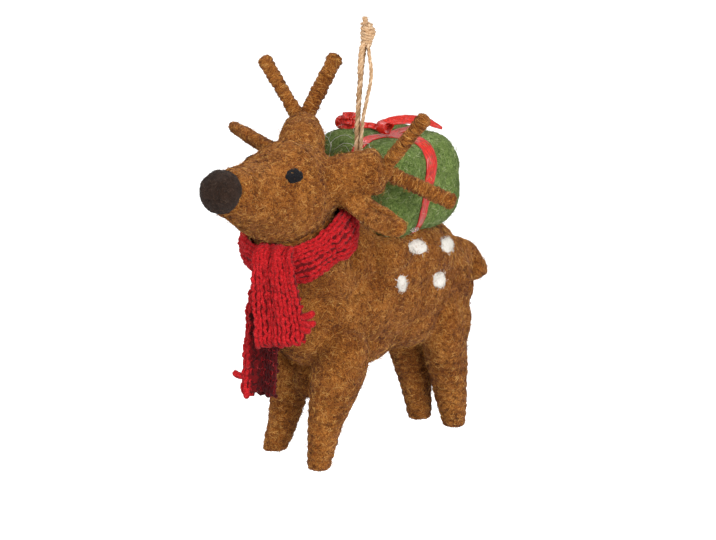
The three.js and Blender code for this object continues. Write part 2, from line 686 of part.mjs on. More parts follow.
// Bow: a knot where the bands cross, a bunched loop and one long end
const giftTop = giftBase + GIFT_HEIGHT;
const bowSeat = giftTop + SEAM_GAP + RIBBON_THICKNESS + SEAM_GAP;
const bowKnot = new RoundedBoxGeometry(BOW_KNOT_SIZE, BOW_KNOT_SIZE, BOW_KNOT_SIZE, 1, BOW_KNOT_SIZE * 0.3);
bowKnot.translate(0, RIBBON_Y, bowSeat + BOW_KNOT_SIZE / 2);
piece(deer, "bow_knot", bowKnot, RED_SATIN);
const bowOut = BOW_KNOT_SIZE / 2 + SEAM_GAP;
const fromBow = (x, y, z) => vector(x, RIBBON_Y + y, bowSeat + z);
const loopAt = (reach, lean, rise) =>
  fromBow(-bowOut - (BOW_LOOP_REACH - bowOut) * reach, -BOW_LOOP_LEAN * lean, BOW_LOOP_RISE * rise);
const bowLoop = limb({
  stations: [
    { at: loopAt(0.1, 0.29, 0.4), wide: RIBBON_WIDTH, deep: BOW_LOOP_THICKNESS * 0.8 },
    { at: loopAt(0.5, 0.61, 0.8), wide: RIBBON_WIDTH * 1.5, deep: BOW_LOOP_THICKNESS * 1.5 },
    { at: loopAt(1, 1, 1), wide: RIBBON_WIDTH * 1.5, deep: BOW_LOOP_THICKNESS * 1.6 },
  ],
  across: Z_AXIS,
  sides: 10,
  steps: 6,
  endDome: BOW_LOOP_THICKNESS * 0.67,
});
piece(deer, "bow_loop", bowLoop, RED_SATIN);
const tailAt = (swing, reach, rise) =>
  fromBow(bowOut + BOW_TAIL_SWING * swing, BOW_TAIL_REACH * reach, BOW_TAIL_RISE * rise);
const bowTail = strip({
  centres: [
    tailAt(0.2, 0.05, 0.32),
    tailAt(0.3, 0.19, 0.79),
    tailAt(0.43, 0.45, 1),
    tailAt(0.73, 0.74, 0.75),
    tailAt(1, 1, 0.32),
  ],
  widths: [RIBBON_WIDTH * 0.8, RIBBON_WIDTH, RIBBON_WIDTH, RIBBON_WIDTH, RIBBON_WIDTH],
  thickness: RIBBON_THICKNESS,
  across: vector(1, -0.45, 0),
  columns: RIBBON_COLUMN_SHARES,
});
piece(deer, "bow_tail", bowTail, RED_SATIN);

// Glue bead where the ribbon ends under the gift's left edge
const beadDip = radians(GLUE_BEAD_DIP);
const bandLift = 2 * SEAM_GAP + RIBBON_THICKNESS;
const beadPlace = vector(
  GIFT_WIDTH / 2 - GIFT_EDGE_RADIUS + (GIFT_EDGE_RADIUS + bandLift) * Math.cos(beadDip),
  RIBBON_Y,
  giftBase + GIFT_EDGE_RADIUS - (GIFT_EDGE_RADIUS + bandLift) * Math.sin(beadDip),
);
const beadBall = new THREE.SphereGeometry(GLUE_BEAD_DIAMETER / 2, 10, 6);
const bead = solid(beadBall, new THREE.Matrix4().makeTranslation(beadPlace));
const bandRoom = giftForm(bandLift);
piece(deer, "glue_bead", geometryOf(cut(bead, bandRoom, torsoRoom)), CLEAR_GLUE);

// Scarf: a folded band round the neck, square to it
const scarfForm = (grow) => {
  const radius = NECK_DIAMETER / 2 + SEAM_GAP + SCARF_THICKNESS / 2;
  const turnCount = 24;
  const halfThick = SCARF_THICKNESS / 2 + grow;
  const halfWide = SCARF_WIDTH / 2 + grow;
  const sideways = X_AXIS;
  const onward = neckLine.clone().cross(sideways);
  const profile = [
    [-1, -0.7], [-1, 0.7], [-0.45, 1], [0.2, 1], [0.85, 0.86], [1, 0.55],
    [0.72, 0.12], [1, -0.3], [0.85, -0.86], [0.2, -1], [-0.45, -1],
  ];
  const rings = Array.from({ length: turnCount }, (_, k) => {
    const angle = (k / turnCount) * 2 * Math.PI;
    const out = sideways.clone().multiplyScalar(Math.cos(angle)).addScaledVector(onward, Math.sin(angle));
    return profile.map(([thick, wide]) =>
      alongNeck(wide * halfWide).addScaledVector(out, radius + thick * halfThick),
    );
  });
  return solid(skin(rings, true));
};
const antlerRoomInDeer = antlerRoom.map((room) => room.transform(headToDeer.elements));
const scarfWrap = cut(scarfForm(0), neckRoom, torsoRoom, ...antlerRoomInDeer);
piece(deer, "scarf_wrap", geometryOf(scarfWrap), RED_KNIT);
const scarfRoom = scarfForm(SEAM_GAP);

// The front end hangs outside the wrap, turned a little to the deer's left
const frontTurn = radians(SCARF_FRONT_TURN);
const frontOut = vector(Math.sin(frontTurn), -Math.cos(frontTurn), 0);
const frontAcross = vector(Math.cos(frontTurn), Math.sin(frontTurn), 0);
const wrapReach = NECK_DIAMETER / 2 + SEAM_GAP + SCARF_THICKNESS + SEAM_GAP;
const frontHang = collar
  .clone()
  .addScaledVector(frontOut, wrapReach + SCARF_THICKNESS / 2)
  .setZ(collar.z - wrapReach * Math.sin(radians(NECK_LEAN)) + SCARF_WIDTH / 2);
const frontPoint = (drop, out) =>
  frontHang.clone().addScaledVector(frontOut, out).setZ(frontHang.z - SCARF_FRONT_LENGTH * drop);
const frontEnd = strip({
  centres: [frontPoint(0, 0.2), frontPoint(0.3, 0.5), frontPoint(0.65, 0), frontPoint(1, -0.6)],
  widths: [0.9, 0.94, 0.97, 1.05].map((share) => SCARF_FRONT_WIDTH * share),
  thickness: SCARF_THICKNESS,
  across: frontAcross,
  columns: CLOTH_COLUMN_SHARES,
  fold: SCARF_FOLD,
});
const frontLeaf = cut(solid(frontEnd), scarfRoom, torsoRoom, headRoomInDeer, neckRoom);
piece(deer, "scarf_front_end", geometryOf(frontLeaf), RED_KNIT);

// The back end hangs behind it, from under the wrap, and is gathered at its top
const backHang = alongNeck(-SCARF_WIDTH / 2 - SEAM_GAP)
  .addScaledVector(neckFront, wrapReach - SCARF_THICKNESS)
  .setX(SCARF_BACK_X);
const backPoint = (drop, x, y) => backHang.clone().add(vector(x, y, -SCARF_BACK_LENGTH * drop));
const backEnd = strip({
  centres: [
    backPoint(0.02, 0, 0),
    backPoint(0.3, 0, -1.2),
    backPoint(0.65, -0.6, -1.2),
    backPoint(1, -1.2, -0.8),
  ],
  widths: [SCARF_BACK_GATHER, SCARF_BACK_WIDTH * 0.8, SCARF_BACK_WIDTH, SCARF_BACK_WIDTH * 1.04],
  thickness: SCARF_THICKNESS,
  across: X_AXIS,
  columns: CLOTH_COLUMN_SHARES,
  fold: SCARF_FOLD,
});
piece(deer, "scarf_back_end", geometryOf(cut(solid(backEnd), scarfRoom, torsoRoom, neckRoom)), RED_KNIT);

// Twine strands, knot and cut end
const strandBase = stitchTop + SEAM_GAP;
for (const [word, side] of SIDES) {
  const base = stitchSide(side).setZ(strandBase);
  const top = loopTop.clone().add(vector((side * LOOP_TOP_SPACING) / 2, 0, -SEAM_GAP));
  const between = (share, bow) => base.clone().lerp(top, share).add(vector(side * bow, 0, 0));
  const bow = side > 0 ? STRAND_BOW : 0;
  const route = [
    base,
    between(0.08, 0),
    between(0.35, bow * 0.4),
    between(0.7, bow),
    between(0.92, bow * 0.5),
    top,
  ];
  piece(deer, `twine_${word}_strand`, tube(route, TWINE_DIAMETER, 16), JUTE);
}
const knot = limb({
  stations: [
    { at: loopTop.clone(), wide: KNOT_DIAMETER * 0.7 },
    { at: loopTop.clone().add(vector(0, 0, KNOT_HEIGHT * 0.3)), wide: KNOT_DIAMETER },
    { at: loopTop.clone().add(vector(0, 0, KNOT_HEIGHT * 0.62)), wide: KNOT_DIAMETER * 0.8 },
    { at: loopTop.clone().add(vector(0, 0, KNOT_HEIGHT)), wide: KNOT_DIAMETER * 0.5 },
  ],
  across: X_AXIS,
  sides: 12,
  steps: 6,
});
piece(deer, "twine_knot", knot, JUTE);
const cutTop = loopTop.clone().add(vector(0, -TWINE_DIAMETER * 1.25, -SEAM_GAP));
const cutTip = cutTop.clone().add(vector(0.4, -1, -CUT_END_LENGTH));
piece(deer, "twine_cut_end", tube([cutTop, cutTip], TWINE_DIAMETER, 4), JUTE);

export default ornament;
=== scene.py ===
"""Dresses the felt reindeer ornament.

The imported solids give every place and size. This script lays needle-felted wool, wound roving, knitting,
satin ribbon and jute twine over them, and sets up the camera and a plain studio.
Lengths are millimetres in the deer's own frame: x = 0 is its middle plane, z = 0 is the plane of its soles,
and it looks along -Y with its left side at +X. place() turns such a point to the frame's metres.
"""
import json
import math
import random

import bmesh
import bpy
from mathutils import Matrix, Quaternion, Vector, noise
from mathutils.bvhtree import BVHTree
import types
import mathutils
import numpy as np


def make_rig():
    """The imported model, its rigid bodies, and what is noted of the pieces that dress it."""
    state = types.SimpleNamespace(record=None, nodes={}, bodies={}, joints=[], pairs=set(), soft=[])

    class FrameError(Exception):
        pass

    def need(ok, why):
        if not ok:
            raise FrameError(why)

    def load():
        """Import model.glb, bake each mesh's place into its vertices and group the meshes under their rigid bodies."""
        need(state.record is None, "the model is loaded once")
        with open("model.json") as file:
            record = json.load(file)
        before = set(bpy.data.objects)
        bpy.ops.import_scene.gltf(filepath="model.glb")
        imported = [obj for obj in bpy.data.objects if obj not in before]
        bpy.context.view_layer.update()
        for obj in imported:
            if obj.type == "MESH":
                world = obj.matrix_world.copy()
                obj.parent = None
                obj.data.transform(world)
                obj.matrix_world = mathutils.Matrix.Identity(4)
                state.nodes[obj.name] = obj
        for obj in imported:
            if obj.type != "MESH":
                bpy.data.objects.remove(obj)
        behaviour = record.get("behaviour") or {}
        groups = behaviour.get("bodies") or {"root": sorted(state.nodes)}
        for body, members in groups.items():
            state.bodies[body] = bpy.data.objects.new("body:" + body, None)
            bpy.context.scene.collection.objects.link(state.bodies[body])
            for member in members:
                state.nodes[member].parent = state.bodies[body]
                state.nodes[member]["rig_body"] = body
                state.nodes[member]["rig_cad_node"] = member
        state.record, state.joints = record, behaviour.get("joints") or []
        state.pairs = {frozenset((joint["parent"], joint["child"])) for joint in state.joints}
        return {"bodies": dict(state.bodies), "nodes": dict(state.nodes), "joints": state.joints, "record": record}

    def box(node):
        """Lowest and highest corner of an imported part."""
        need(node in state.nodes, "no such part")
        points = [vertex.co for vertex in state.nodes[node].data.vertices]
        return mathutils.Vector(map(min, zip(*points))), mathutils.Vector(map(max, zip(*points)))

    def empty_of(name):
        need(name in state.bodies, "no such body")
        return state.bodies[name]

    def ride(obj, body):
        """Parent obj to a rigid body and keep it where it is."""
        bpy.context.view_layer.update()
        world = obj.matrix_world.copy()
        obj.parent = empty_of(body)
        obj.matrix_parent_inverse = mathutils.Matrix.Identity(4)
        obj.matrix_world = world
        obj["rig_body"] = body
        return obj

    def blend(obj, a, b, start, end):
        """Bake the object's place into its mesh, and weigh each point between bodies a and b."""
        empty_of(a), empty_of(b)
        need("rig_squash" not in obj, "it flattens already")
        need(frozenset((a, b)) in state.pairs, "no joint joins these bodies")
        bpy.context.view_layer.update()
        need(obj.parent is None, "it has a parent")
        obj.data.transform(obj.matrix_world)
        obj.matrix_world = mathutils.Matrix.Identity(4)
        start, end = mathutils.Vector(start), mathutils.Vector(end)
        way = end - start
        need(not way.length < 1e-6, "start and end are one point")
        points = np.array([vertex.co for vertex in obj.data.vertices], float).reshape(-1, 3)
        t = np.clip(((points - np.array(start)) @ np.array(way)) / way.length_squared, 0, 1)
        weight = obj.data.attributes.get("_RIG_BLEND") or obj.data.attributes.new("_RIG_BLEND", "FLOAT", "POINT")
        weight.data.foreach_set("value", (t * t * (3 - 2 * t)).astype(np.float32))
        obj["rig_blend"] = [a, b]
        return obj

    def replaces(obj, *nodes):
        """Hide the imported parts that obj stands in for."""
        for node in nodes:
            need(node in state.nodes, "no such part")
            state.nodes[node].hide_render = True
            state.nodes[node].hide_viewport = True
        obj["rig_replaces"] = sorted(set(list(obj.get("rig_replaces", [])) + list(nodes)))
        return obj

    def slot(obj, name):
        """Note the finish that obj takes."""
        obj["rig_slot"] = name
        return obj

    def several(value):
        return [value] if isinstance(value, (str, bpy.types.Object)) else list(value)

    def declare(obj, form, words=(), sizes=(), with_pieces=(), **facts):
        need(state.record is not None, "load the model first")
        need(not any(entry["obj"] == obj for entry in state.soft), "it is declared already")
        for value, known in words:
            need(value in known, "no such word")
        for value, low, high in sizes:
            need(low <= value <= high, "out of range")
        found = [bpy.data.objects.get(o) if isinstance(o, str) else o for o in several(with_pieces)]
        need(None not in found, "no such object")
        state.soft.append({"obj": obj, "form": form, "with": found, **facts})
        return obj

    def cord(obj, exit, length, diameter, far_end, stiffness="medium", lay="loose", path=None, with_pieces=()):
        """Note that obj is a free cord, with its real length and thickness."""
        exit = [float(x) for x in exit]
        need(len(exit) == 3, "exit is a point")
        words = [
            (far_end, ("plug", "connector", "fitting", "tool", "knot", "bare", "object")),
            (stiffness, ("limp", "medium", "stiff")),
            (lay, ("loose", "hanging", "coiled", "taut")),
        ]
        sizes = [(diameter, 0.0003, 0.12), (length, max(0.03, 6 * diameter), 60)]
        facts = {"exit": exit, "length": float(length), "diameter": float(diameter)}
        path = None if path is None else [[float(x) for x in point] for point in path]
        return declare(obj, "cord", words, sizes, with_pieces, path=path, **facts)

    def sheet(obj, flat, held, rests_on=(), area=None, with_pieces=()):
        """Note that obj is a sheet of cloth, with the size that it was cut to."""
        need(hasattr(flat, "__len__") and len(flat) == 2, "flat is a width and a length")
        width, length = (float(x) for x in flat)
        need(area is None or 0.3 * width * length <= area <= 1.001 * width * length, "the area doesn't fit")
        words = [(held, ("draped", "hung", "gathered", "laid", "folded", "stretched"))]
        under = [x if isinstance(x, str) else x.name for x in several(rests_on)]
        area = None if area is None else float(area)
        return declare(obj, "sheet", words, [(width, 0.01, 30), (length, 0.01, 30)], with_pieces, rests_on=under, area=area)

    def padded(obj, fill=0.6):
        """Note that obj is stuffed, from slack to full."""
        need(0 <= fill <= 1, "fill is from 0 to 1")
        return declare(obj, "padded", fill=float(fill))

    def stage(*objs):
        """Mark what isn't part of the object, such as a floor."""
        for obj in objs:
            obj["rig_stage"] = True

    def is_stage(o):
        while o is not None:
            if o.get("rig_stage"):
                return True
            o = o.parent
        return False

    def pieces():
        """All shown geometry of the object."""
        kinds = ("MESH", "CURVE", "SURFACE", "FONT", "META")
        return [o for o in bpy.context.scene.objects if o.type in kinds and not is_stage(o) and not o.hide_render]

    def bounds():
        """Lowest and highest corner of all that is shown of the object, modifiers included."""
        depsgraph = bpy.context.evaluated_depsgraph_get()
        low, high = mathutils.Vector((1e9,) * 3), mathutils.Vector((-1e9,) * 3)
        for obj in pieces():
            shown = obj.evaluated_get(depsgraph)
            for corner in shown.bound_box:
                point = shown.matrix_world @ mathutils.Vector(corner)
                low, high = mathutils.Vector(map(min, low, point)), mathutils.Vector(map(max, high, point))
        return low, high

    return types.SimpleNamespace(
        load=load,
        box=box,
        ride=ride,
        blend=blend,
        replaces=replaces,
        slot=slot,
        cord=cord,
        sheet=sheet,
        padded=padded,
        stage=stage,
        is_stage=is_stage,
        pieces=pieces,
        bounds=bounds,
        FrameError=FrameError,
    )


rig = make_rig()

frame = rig.load()
cad_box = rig.bounds()

MM = 0.001
X_WAY = Vector((1, 0, 0))
Y_WAY = Vector((0, 1, 0))
UP = Vector((0, 0, 1))

# The top of the twine loop is the frame's origin. This is where it lies over the deer.
HOOK = Vector((5.8, -6.2, -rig.box("front_left_leg")[0].z / MM))


def place(point):
    """A point of the deer's own frame in the frame's metres."""
    return (point - HOOK) * MM


# Camera: the photograph's view
VIEW_AZIMUTH = 47
VIEW_ELEVATION = 18
VIEW_TARGET = Vector((0, -4.2, 56.9))
VIEW_DISTANCE = 2000
VIEW_WIDTH = 222
SENSOR = 36

# Head: its centre, and its roll to its left
HEAD_CENTRE = Vector((0, -34, 88))
HEAD_ROLL = 12

# Antlers: bend and tip of each stalk, and each tine's direction and diameter, in the head's own frame
STALK_BENDS = {"left": Vector((12, 15.5, 8.6)), "right": Vector((-12, 15.5, 8.6))}
STALK_TIPS = {"left": Vector((19, 23, 12)), "right": Vector((-20, 22, 12.4))}
STALK_BLUNTING = 3
TINE_LENGTH = 21.9
TINE_SPACINGS = {"left": 3.6, "right": 2.4}
WINDING_PITCH = 1.75
TINES = {
    "left_front_tine": (Vector((9.4, 4.2, 20)), 4),
    "left_rear_tine": (Vector((15.4, 12.4, -5.2)), 4.5),
    "right_front_tine": (Vector((-13.6, -6.2, 16.6)), 3.9),
    "right_rear_tine": (Vector((-3.2, 12.3, 16.4)), 4.6),
}

# Nose and eyes
NOSE_PLACE = Vector((0, -28, 7))
NOSE_DIAMETER = 13.3
EYE_SIZE = (5.6, 4.7)
EYE_HEIGHT = 1
EYE_SHIFTS = {"left_eye": Vector((0, -1.2, -0.7)), "right_eye": Vector((-6.4, 1.8, -6.2))}

# Legs, each from its sole to the belly, for the direction that their roving is wound in
LEG_LINES = [
    (Vector((8.5, -29.2, 0)), Vector((11.5, -23, 31))),
    (Vector((-14.2, -27.8, 0)), Vector((-11.5, -21.5, 31))),
    (Vector((7.5, 30.5, 0)), Vector((9.2, 23.7, 31))),
    (Vector((-4.5, 27, 0)), Vector((-8.9, 23, 31))),
]
LEG_TOP = 27
LEG_WINDING_PITCH = 2.6

# Where the felt is needled thicker than its solids: centre and half sizes of each lump
BODY_LUMPS = [
    ((2, -12, 63), (12, 12, 13)),
    ((0, -7, 36), (13, 14, 9)),
    ((0, 7, 58), (17.5, 26.6, 14.5)),
    ((0, 36, 51.5), (8, 6, 5.5)),
    ((0, 44.8, 46.8), (5, 4.2, 4)),
    ((-2, -23.5, 27), (7, 4, 8)),
    ((0, 11, 40), (15, 16, 11.6)),
    ((8, 27, 36), (7, 7.6, 12)),
    ((-8, 27, 36), (7, 7.6, 12)),
    ((11, -2, 63.5), (7, 9, 7)),
    ((-11, -2, 63.5), (7, 9, 7)),
]
HEAD_LUMPS = [((17.3, -14.8, 94.7), (7.3, 7.3, 7.3))]

# Spots: width and height as the camera sees them
SPOT_SIZES = [(5.7, 4.4), (4, 4.7), (2.9, 5.2), (4.1, 5)]
SPOT_HEIGHT = 0.34

# Felt: it is swollen to close the seams between its solids, and then drawn in again
FELT_SWELL = 0.22
FELT_DRAW_IN = 0.16
FELT_VOXEL = 0.7
FIBRE_WIDTH = 0.12
SHADE_CLUMP = 1.3
BARE_EDGE = 1.6

# Scarf: neck line and collar point, then the two ends
COLLAR = Vector((0, -29.6, 74.4))
NECK_LEAN = 25
WRAP_RADIUS = 14.9
WRAP_BULGE = 2
WRAP_HALF_WIDTH = 4.6
WRAP_BUNCH = 0.63
WRAP_SPREAD = 0.07
WRAP_DROOP = 0.88
SCARF_FRONT_TURN = 21
YARN_WIDTH = 1.3
STITCH_WIDTH = 2.4
STITCH_HEIGHT = 1.95
STITCH_DEPTH = 0.58
COLUMN_DEPTH = 0.35
YARN_SLACK = 0.65
YARN_SEED = 7
CLOTH_THICKNESS = 0.9

# Gift and ribbon
GIFT_LOW, GIFT_HIGH = (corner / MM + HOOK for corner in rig.box("gift_block"))
GIFT_SINK = 3.4
GIFT_LOW.z += GIFT_SINK
GIFT_MIDDLE = (GIFT_LOW + GIFT_HIGH) / 2
GIFT_HALF = (GIFT_HIGH - GIFT_LOW) / 2
GIFT_EDGE_RADIUS = 8.2
GIFT_EDGE_CHANGE = 1.8
GIFT_SLUMP = 2.4
GIFT_CORNER = 2.2
RIBBON_Y = 7.2
RIBBON_WIDTH = 3.1
BAND_WIDTH = 3.8
SIDE_BAND_SHIFT = 1.8
SIDE_BAND_SWAY = 2.5
RIBBON_THICKNESS = 0.25
RIBBON_LIFT = 0.32
RIBBON_FURROW = 2.2
SATIN_THREAD = 0.24

# Twine
TWINE_DIAMETER = 1.7
STRAND_DIAMETERS = {"left": 1.2, "right": 1.8}
TWINE_PITCH = 6
STITCH_POINT = (4, -8.6)
KNOT_TURNS = 4.6
KNOT_STEPS = 110
KNOT_HEIGHT = 6.6
KNOT_LEAN = Vector((0.4, 0.45, 0))
CUT_END = [(0.1, -0.6, 1.4), (0.2, -1.7, 0.2), (0.2, -2.3, -2), (0.3, -2.7, -5), (0.4, -3, -8.3)]
STRAND_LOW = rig.box("twine_left_strand")[0].z / MM + HOOK.z
STRAND_HIGH = HOOK.z - 0.3

# Studio: the light from all round, and the floor's depth under the soles, half width in metres and glow
AMBIENT = 0.28
FLOOR_DROP = 110
FLOOR_HALF = 6
FLOOR_GLOW = 0.9


def linear(hex_colour):
    """An sRGB hex colour as linear RGBA."""
    channels = [int(hex_colour[i:i + 2], 16) / 255 for i in (0, 2, 4)]
    return [c / 12.92 if c <= 0.04045 else ((c + 0.055) / 1.055) ** 2.4 for c in channels] + [1]


def feed(tree, node, inputs):
    """Sets the sockets of a node, and links those that are given an output."""
    for socket, value in inputs.items():
        if isinstance(value, bpy.types.NodeSocket):
            tree.links.new(value, node.inputs[socket])
        else:
            node.inputs[socket].default_value = value


def add(tree, kind, inputs=None, **settings):
    """Adds a node with the given properties and sockets."""
    made = tree.nodes.new(kind)
    for key, value in settings.items():
        setattr(made, key, value)
    feed(tree, made, inputs or {})
    return made


def blank_material(name):
    """A material with only an output and a Principled shader, and its tree."""
    made = bpy.data.materials.new(name)
    made.use_nodes = True
    tree = made.node_tree
    tree.nodes.clear()
    shader = add(tree, "ShaderNodeBsdfPrincipled")
    add(tree, "ShaderNodeOutputMaterial", {"Surface": shader.outputs["BSDF"]})
    return made, tree, shader


def ramp(tree, factor, stops):
    """A colour ramp through (position, hex colour) stops."""
    made = add(tree, "ShaderNodeValToRGB", {"Fac": factor})
    elements = made.color_ramp.elements
    while len(elements) < len(stops):
        elements.new(0.5)
    for element, (position, colour) in zip(elements, stops):
        element.position = position
        element.color = linear(colour)
    return made.outputs["Color"]


def grain(tree, size, detail, **inputs):
    """Noise on the object's own coordinates, whose lumps are size millimetres wide."""
    where = add(tree, "ShaderNodeTexCoord").outputs["Object"]
    inputs |= {"Vector": where, "Scale": 1 / (size * MM), "Detail": detail}
    return add(tree, "ShaderNodeTexNoise", inputs).outputs["Fac"]


def bump(tree, height, strength, depth):
    """The normals of a surface that rises by depth millimetres where height is 1."""
    made = add(tree, "ShaderNodeBump", {"Height": height, "Strength": strength, "Distance": depth * MM})
    return made.outputs["Normal"]


def mix(tree, share, first, second):
    """Two values mixed, with a share of the second."""
    return add(tree, "ShaderNodeMix", {"Factor": share, "A": first, "B": second}).outputs["Result"]


def strand_shade(tree):
    """The shade from 0 to 1 that each strand of a piece carries."""
    return add(tree, "ShaderNodeAttribute", attribute_name="shade").outputs["Fac"]


def aim_camera():
    """Sets up the camera, and gives the direction from its target back to it."""
    azimuth = math.radians(VIEW_AZIMUTH)
    elevation = math.radians(VIEW_ELEVATION)
    level = math.cos(elevation)
    back = Vector((math.sin(azimuth) * level, -math.cos(azimuth) * level, math.sin(elevation)))
    data = bpy.data.cameras.new("camera")
    data.sensor_width = SENSOR
    data.lens = SENSOR * VIEW_DISTANCE / VIEW_WIDTH
    data.clip_start = 0.05
    data.clip_end = 20
    camera = bpy.data.objects.new("camera", data)
    camera.location = place(VIEW_TARGET) + back * VIEW_DISTANCE * MM
    camera.rotation_euler = (-back).to_track_quat("-Z", "Y").to_euler()
    bpy.context.scene.collection.objects.link(camera)
    bpy.context.scene.camera = camera
    return back


view_back = aim_camera()


# Meshes
def finish_mesh(name, bm):
    bmesh.ops.recalc_face_normals(bm, faces=bm.faces)
    mesh = bpy.data.meshes.new(name)
    bm.to_mesh(mesh)
    bm.free()
    mesh.shade_smooth()
    return mesh


def show(name, mesh, material, slot, body="deer", replaces=()):
    """A finished piece: its object at the origin, on its body, with its finish."""
    mesh.materials.clear()
    mesh.materials.append(material)
    piece = bpy.data.objects.new(name, mesh)
    bpy.context.scene.collection.objects.link(piece)
    if body:
        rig.ride(piece, body)
    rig.slot(piece, slot)
    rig.replaces(piece, *replaces)
    return piece


def applied(holder):
    """The mesh that an object has with its modifiers or its bevel, and the object is removed."""
    bpy.context.scene.collection.objects.link(holder)
    bpy.context.view_layer.update()
    graph = bpy.context.evaluated_depsgraph_get()
    mesh = bpy.data.meshes.new_from_object(holder.evaluated_get(graph))
    bpy.data.objects.remove(holder)
    return mesh


def section(sides):
    """A small closed polygon of radius 1, as the section of strands."""
    curve = bpy.data.curves.new("section", "CURVE")
    spline = curve.splines.new("POLY")
    spline.points.add(sides - 1)
    for i, point in enumerate(spline.points):
        turn = 2 * math.pi * i / sides
        point.co = (math.cos(turn), math.sin(turn), 0, 1)
    spline.use_cyclic_u = True
    holder = bpy.data.objects.new("section", curve)
    bpy.context.scene.collection.objects.link(holder)
    return holder


def strand_mesh(name, strands, sides=3):
    """One mesh of tubes. Each strand is its line of points, its radii in metres and its shade."""
    ring = section(sides)
    curve = bpy.data.curves.new(name, "CURVE")
    curve.dimensions = "3D"
    curve.bevel_mode = "OBJECT"
    curve.bevel_object = ring
    curve.use_fill_caps = True
    for line, radii, _ in strands:
        spline = curve.splines.new("POLY")
        spline.points.add(len(line) - 1)
        spline.points.foreach_set("co", [c for point in line for c in (*point, 1)])
        spline.points.foreach_set("radius", radii)
    mesh = applied(bpy.data.objects.new(name, curve))
    bpy.data.objects.remove(ring)
    # The points of the end caps come first, from the last strand to the first, and then those of the tubes.
    shades = [shade for _, _, shade in reversed(strands) for _ in range(2 * sides)]
    shades += [shade for line, _, shade in strands for _ in range(len(line) * sides)]
    mesh.attributes.new("shade", "FLOAT", "POINT").data.foreach_set("value", shades)
    bm = bmesh.new()
    bm.from_mesh(mesh)
    bmesh.ops.remove_doubles(bm, verts=bm.verts, dist=1e-7)
    bpy.data.meshes.remove(mesh)
    return finish_mesh(name, bm)


def show_strands(name, strands, material, slot, body="deer"):
    return show(name, strand_mesh(name, strands), material, slot, body)


def smooth_line(points, count):
    """Points along a smooth curve through the given ones."""
    ends = [points[0] * 2 - points[1], *points, points[-1] * 2 - points[-2]]
    line = []
    for k in range(count + 1):
        share = k / count * (len(points) - 1)
        i = min(int(share), len(points) - 2)
        t = share - i
        a, b, c, d = ends[i:i + 4]
        square = a * 2 - b * 5 + c * 4 - d
        cube = b * 3 - a - c * 3 + d
        line.append((b * 2 + (c - a) * t + square * t ** 2 + cube * t ** 3) / 2)
    return line


def hump(share, middle, width):
    """A smooth rise to 1 at the middle, which is nearly gone at twice the width."""
    return math.exp(-((share - middle) / width) ** 2)


def swept_grid(name, along_count, across_count, put, thickness=0):
    """A grid laid by put(along, across), with shares from 0 to 1 and from -1 to 1.

    With a thickness, in mm, it is closed to a thin sheet.
    """
    bm = bmesh.new()
    bmesh.ops.create_grid(bm, x_segments=across_count, y_segments=along_count, size=0.5)
    shares = bm.loops.layers.uv.new("shares")
    for face in bm.faces:
        for loop in face.loops:
            loop[shares].uv = (loop.vert.co.x + 0.5, loop.vert.co.y + 0.5)
    for vert in bm.verts:
        vert.co = put(vert.co.y + 0.5, vert.co.x * 2)
    bmesh.ops.remove_doubles(bm, verts=bm.verts, dist=1e-6)
    mesh = finish_mesh(name, bm)
    if not thickness:
        return mesh
    holder = bpy.data.objects.new(name, mesh)
    shell = holder.modifiers.new("shell", "SOLIDIFY")
    shell.thickness = thickness * MM
    shell.offset = 0
    return applied(holder)


def surface_of(mesh):
    return BVHTree.FromPolygons([v.co for v in mesh.vertices], [p.vertices for p in mesh.polygons])


# Twine: two plied strands from the stitch in the back up to the knot
def plied(line, diameter, plies=3):
    """The lines of the plies that are twisted round a line of points in metres."""
    offset = diameter * 0.26 * MM
    lines = [[] for _ in range(plies)]
    normal = (line[1] - line[0]).orthogonal().normalized()
    run = 0
    for i, point in enumerate(line):
        ahead = line[min(i + 1, len(line) - 1)]
        behind = line[max(i - 1, 0)]
        tangent = (ahead - behind).normalized()
        normal = (normal - tangent * normal.dot(tangent)).normalized()
        side = tangent.cross(normal)
        run += (point - behind).length
        for ply, ply_line in enumerate(lines):
            turn = 2 * math.pi * (run / (TWINE_PITCH * MM) + ply / plies)
            ply_line.append(point + (normal * math.cos(turn) + side * math.sin(turn)) * offset)
    return lines


def twine_mesh(name, lines, rng, diameter=TWINE_DIAMETER):
    """Plied twine along one or more lines."""
    radius = diameter * 0.27 * MM
    strands = []
    for line in lines:
        for ply in plied(line, diameter):
            radii = [radius * rng.uniform(0.85, 1.1) for _ in ply]
            strands.append((ply, radii, rng.random()))
    return strand_mesh(name, strands, sides=7)


def strand_route(side, bends):
    """The centre line of a strand, from stitch to knot. bends are shares of its height and shifts in mm."""
    base = Vector((STITCH_POINT[0] + side * 1.6, STITCH_POINT[1], STRAND_LOW))
    top = Vector((HOOK.x + side * 0.95, HOOK.y, STRAND_HIGH))
    points = [base.lerp(top, share) + X_WAY * shift for share, shift in bends]
    return [place(point) for point in smooth_line(points, 90)]


def line_length(line):
    return sum((b - a).length for a, b in zip(line, line[1:]))


def jute():
    """Natural jute: dull bast fibre, straw to tan, in coarse twisted plies with paler hairs."""
    made, tree, shader = blank_material("jute_twine")
    flecks = grain(tree, 0.7, 4, Roughness=0.7)
    mixed = mix(tree, 0.35, flecks, strand_shade(tree))
    feed(tree, shader, {
        "Base Color": ramp(tree, mixed, [(0.25, "8f6c49"), (0.5, "c19b74"), (0.75, "e6cbab")]),
        "Normal": bump(tree, flecks, 0.6, 0.2),
        "Roughness": 0.9,
        "Specular IOR Level": 0.2,
    })
    return made


JUTE = jute()
rng = random.Random(5)

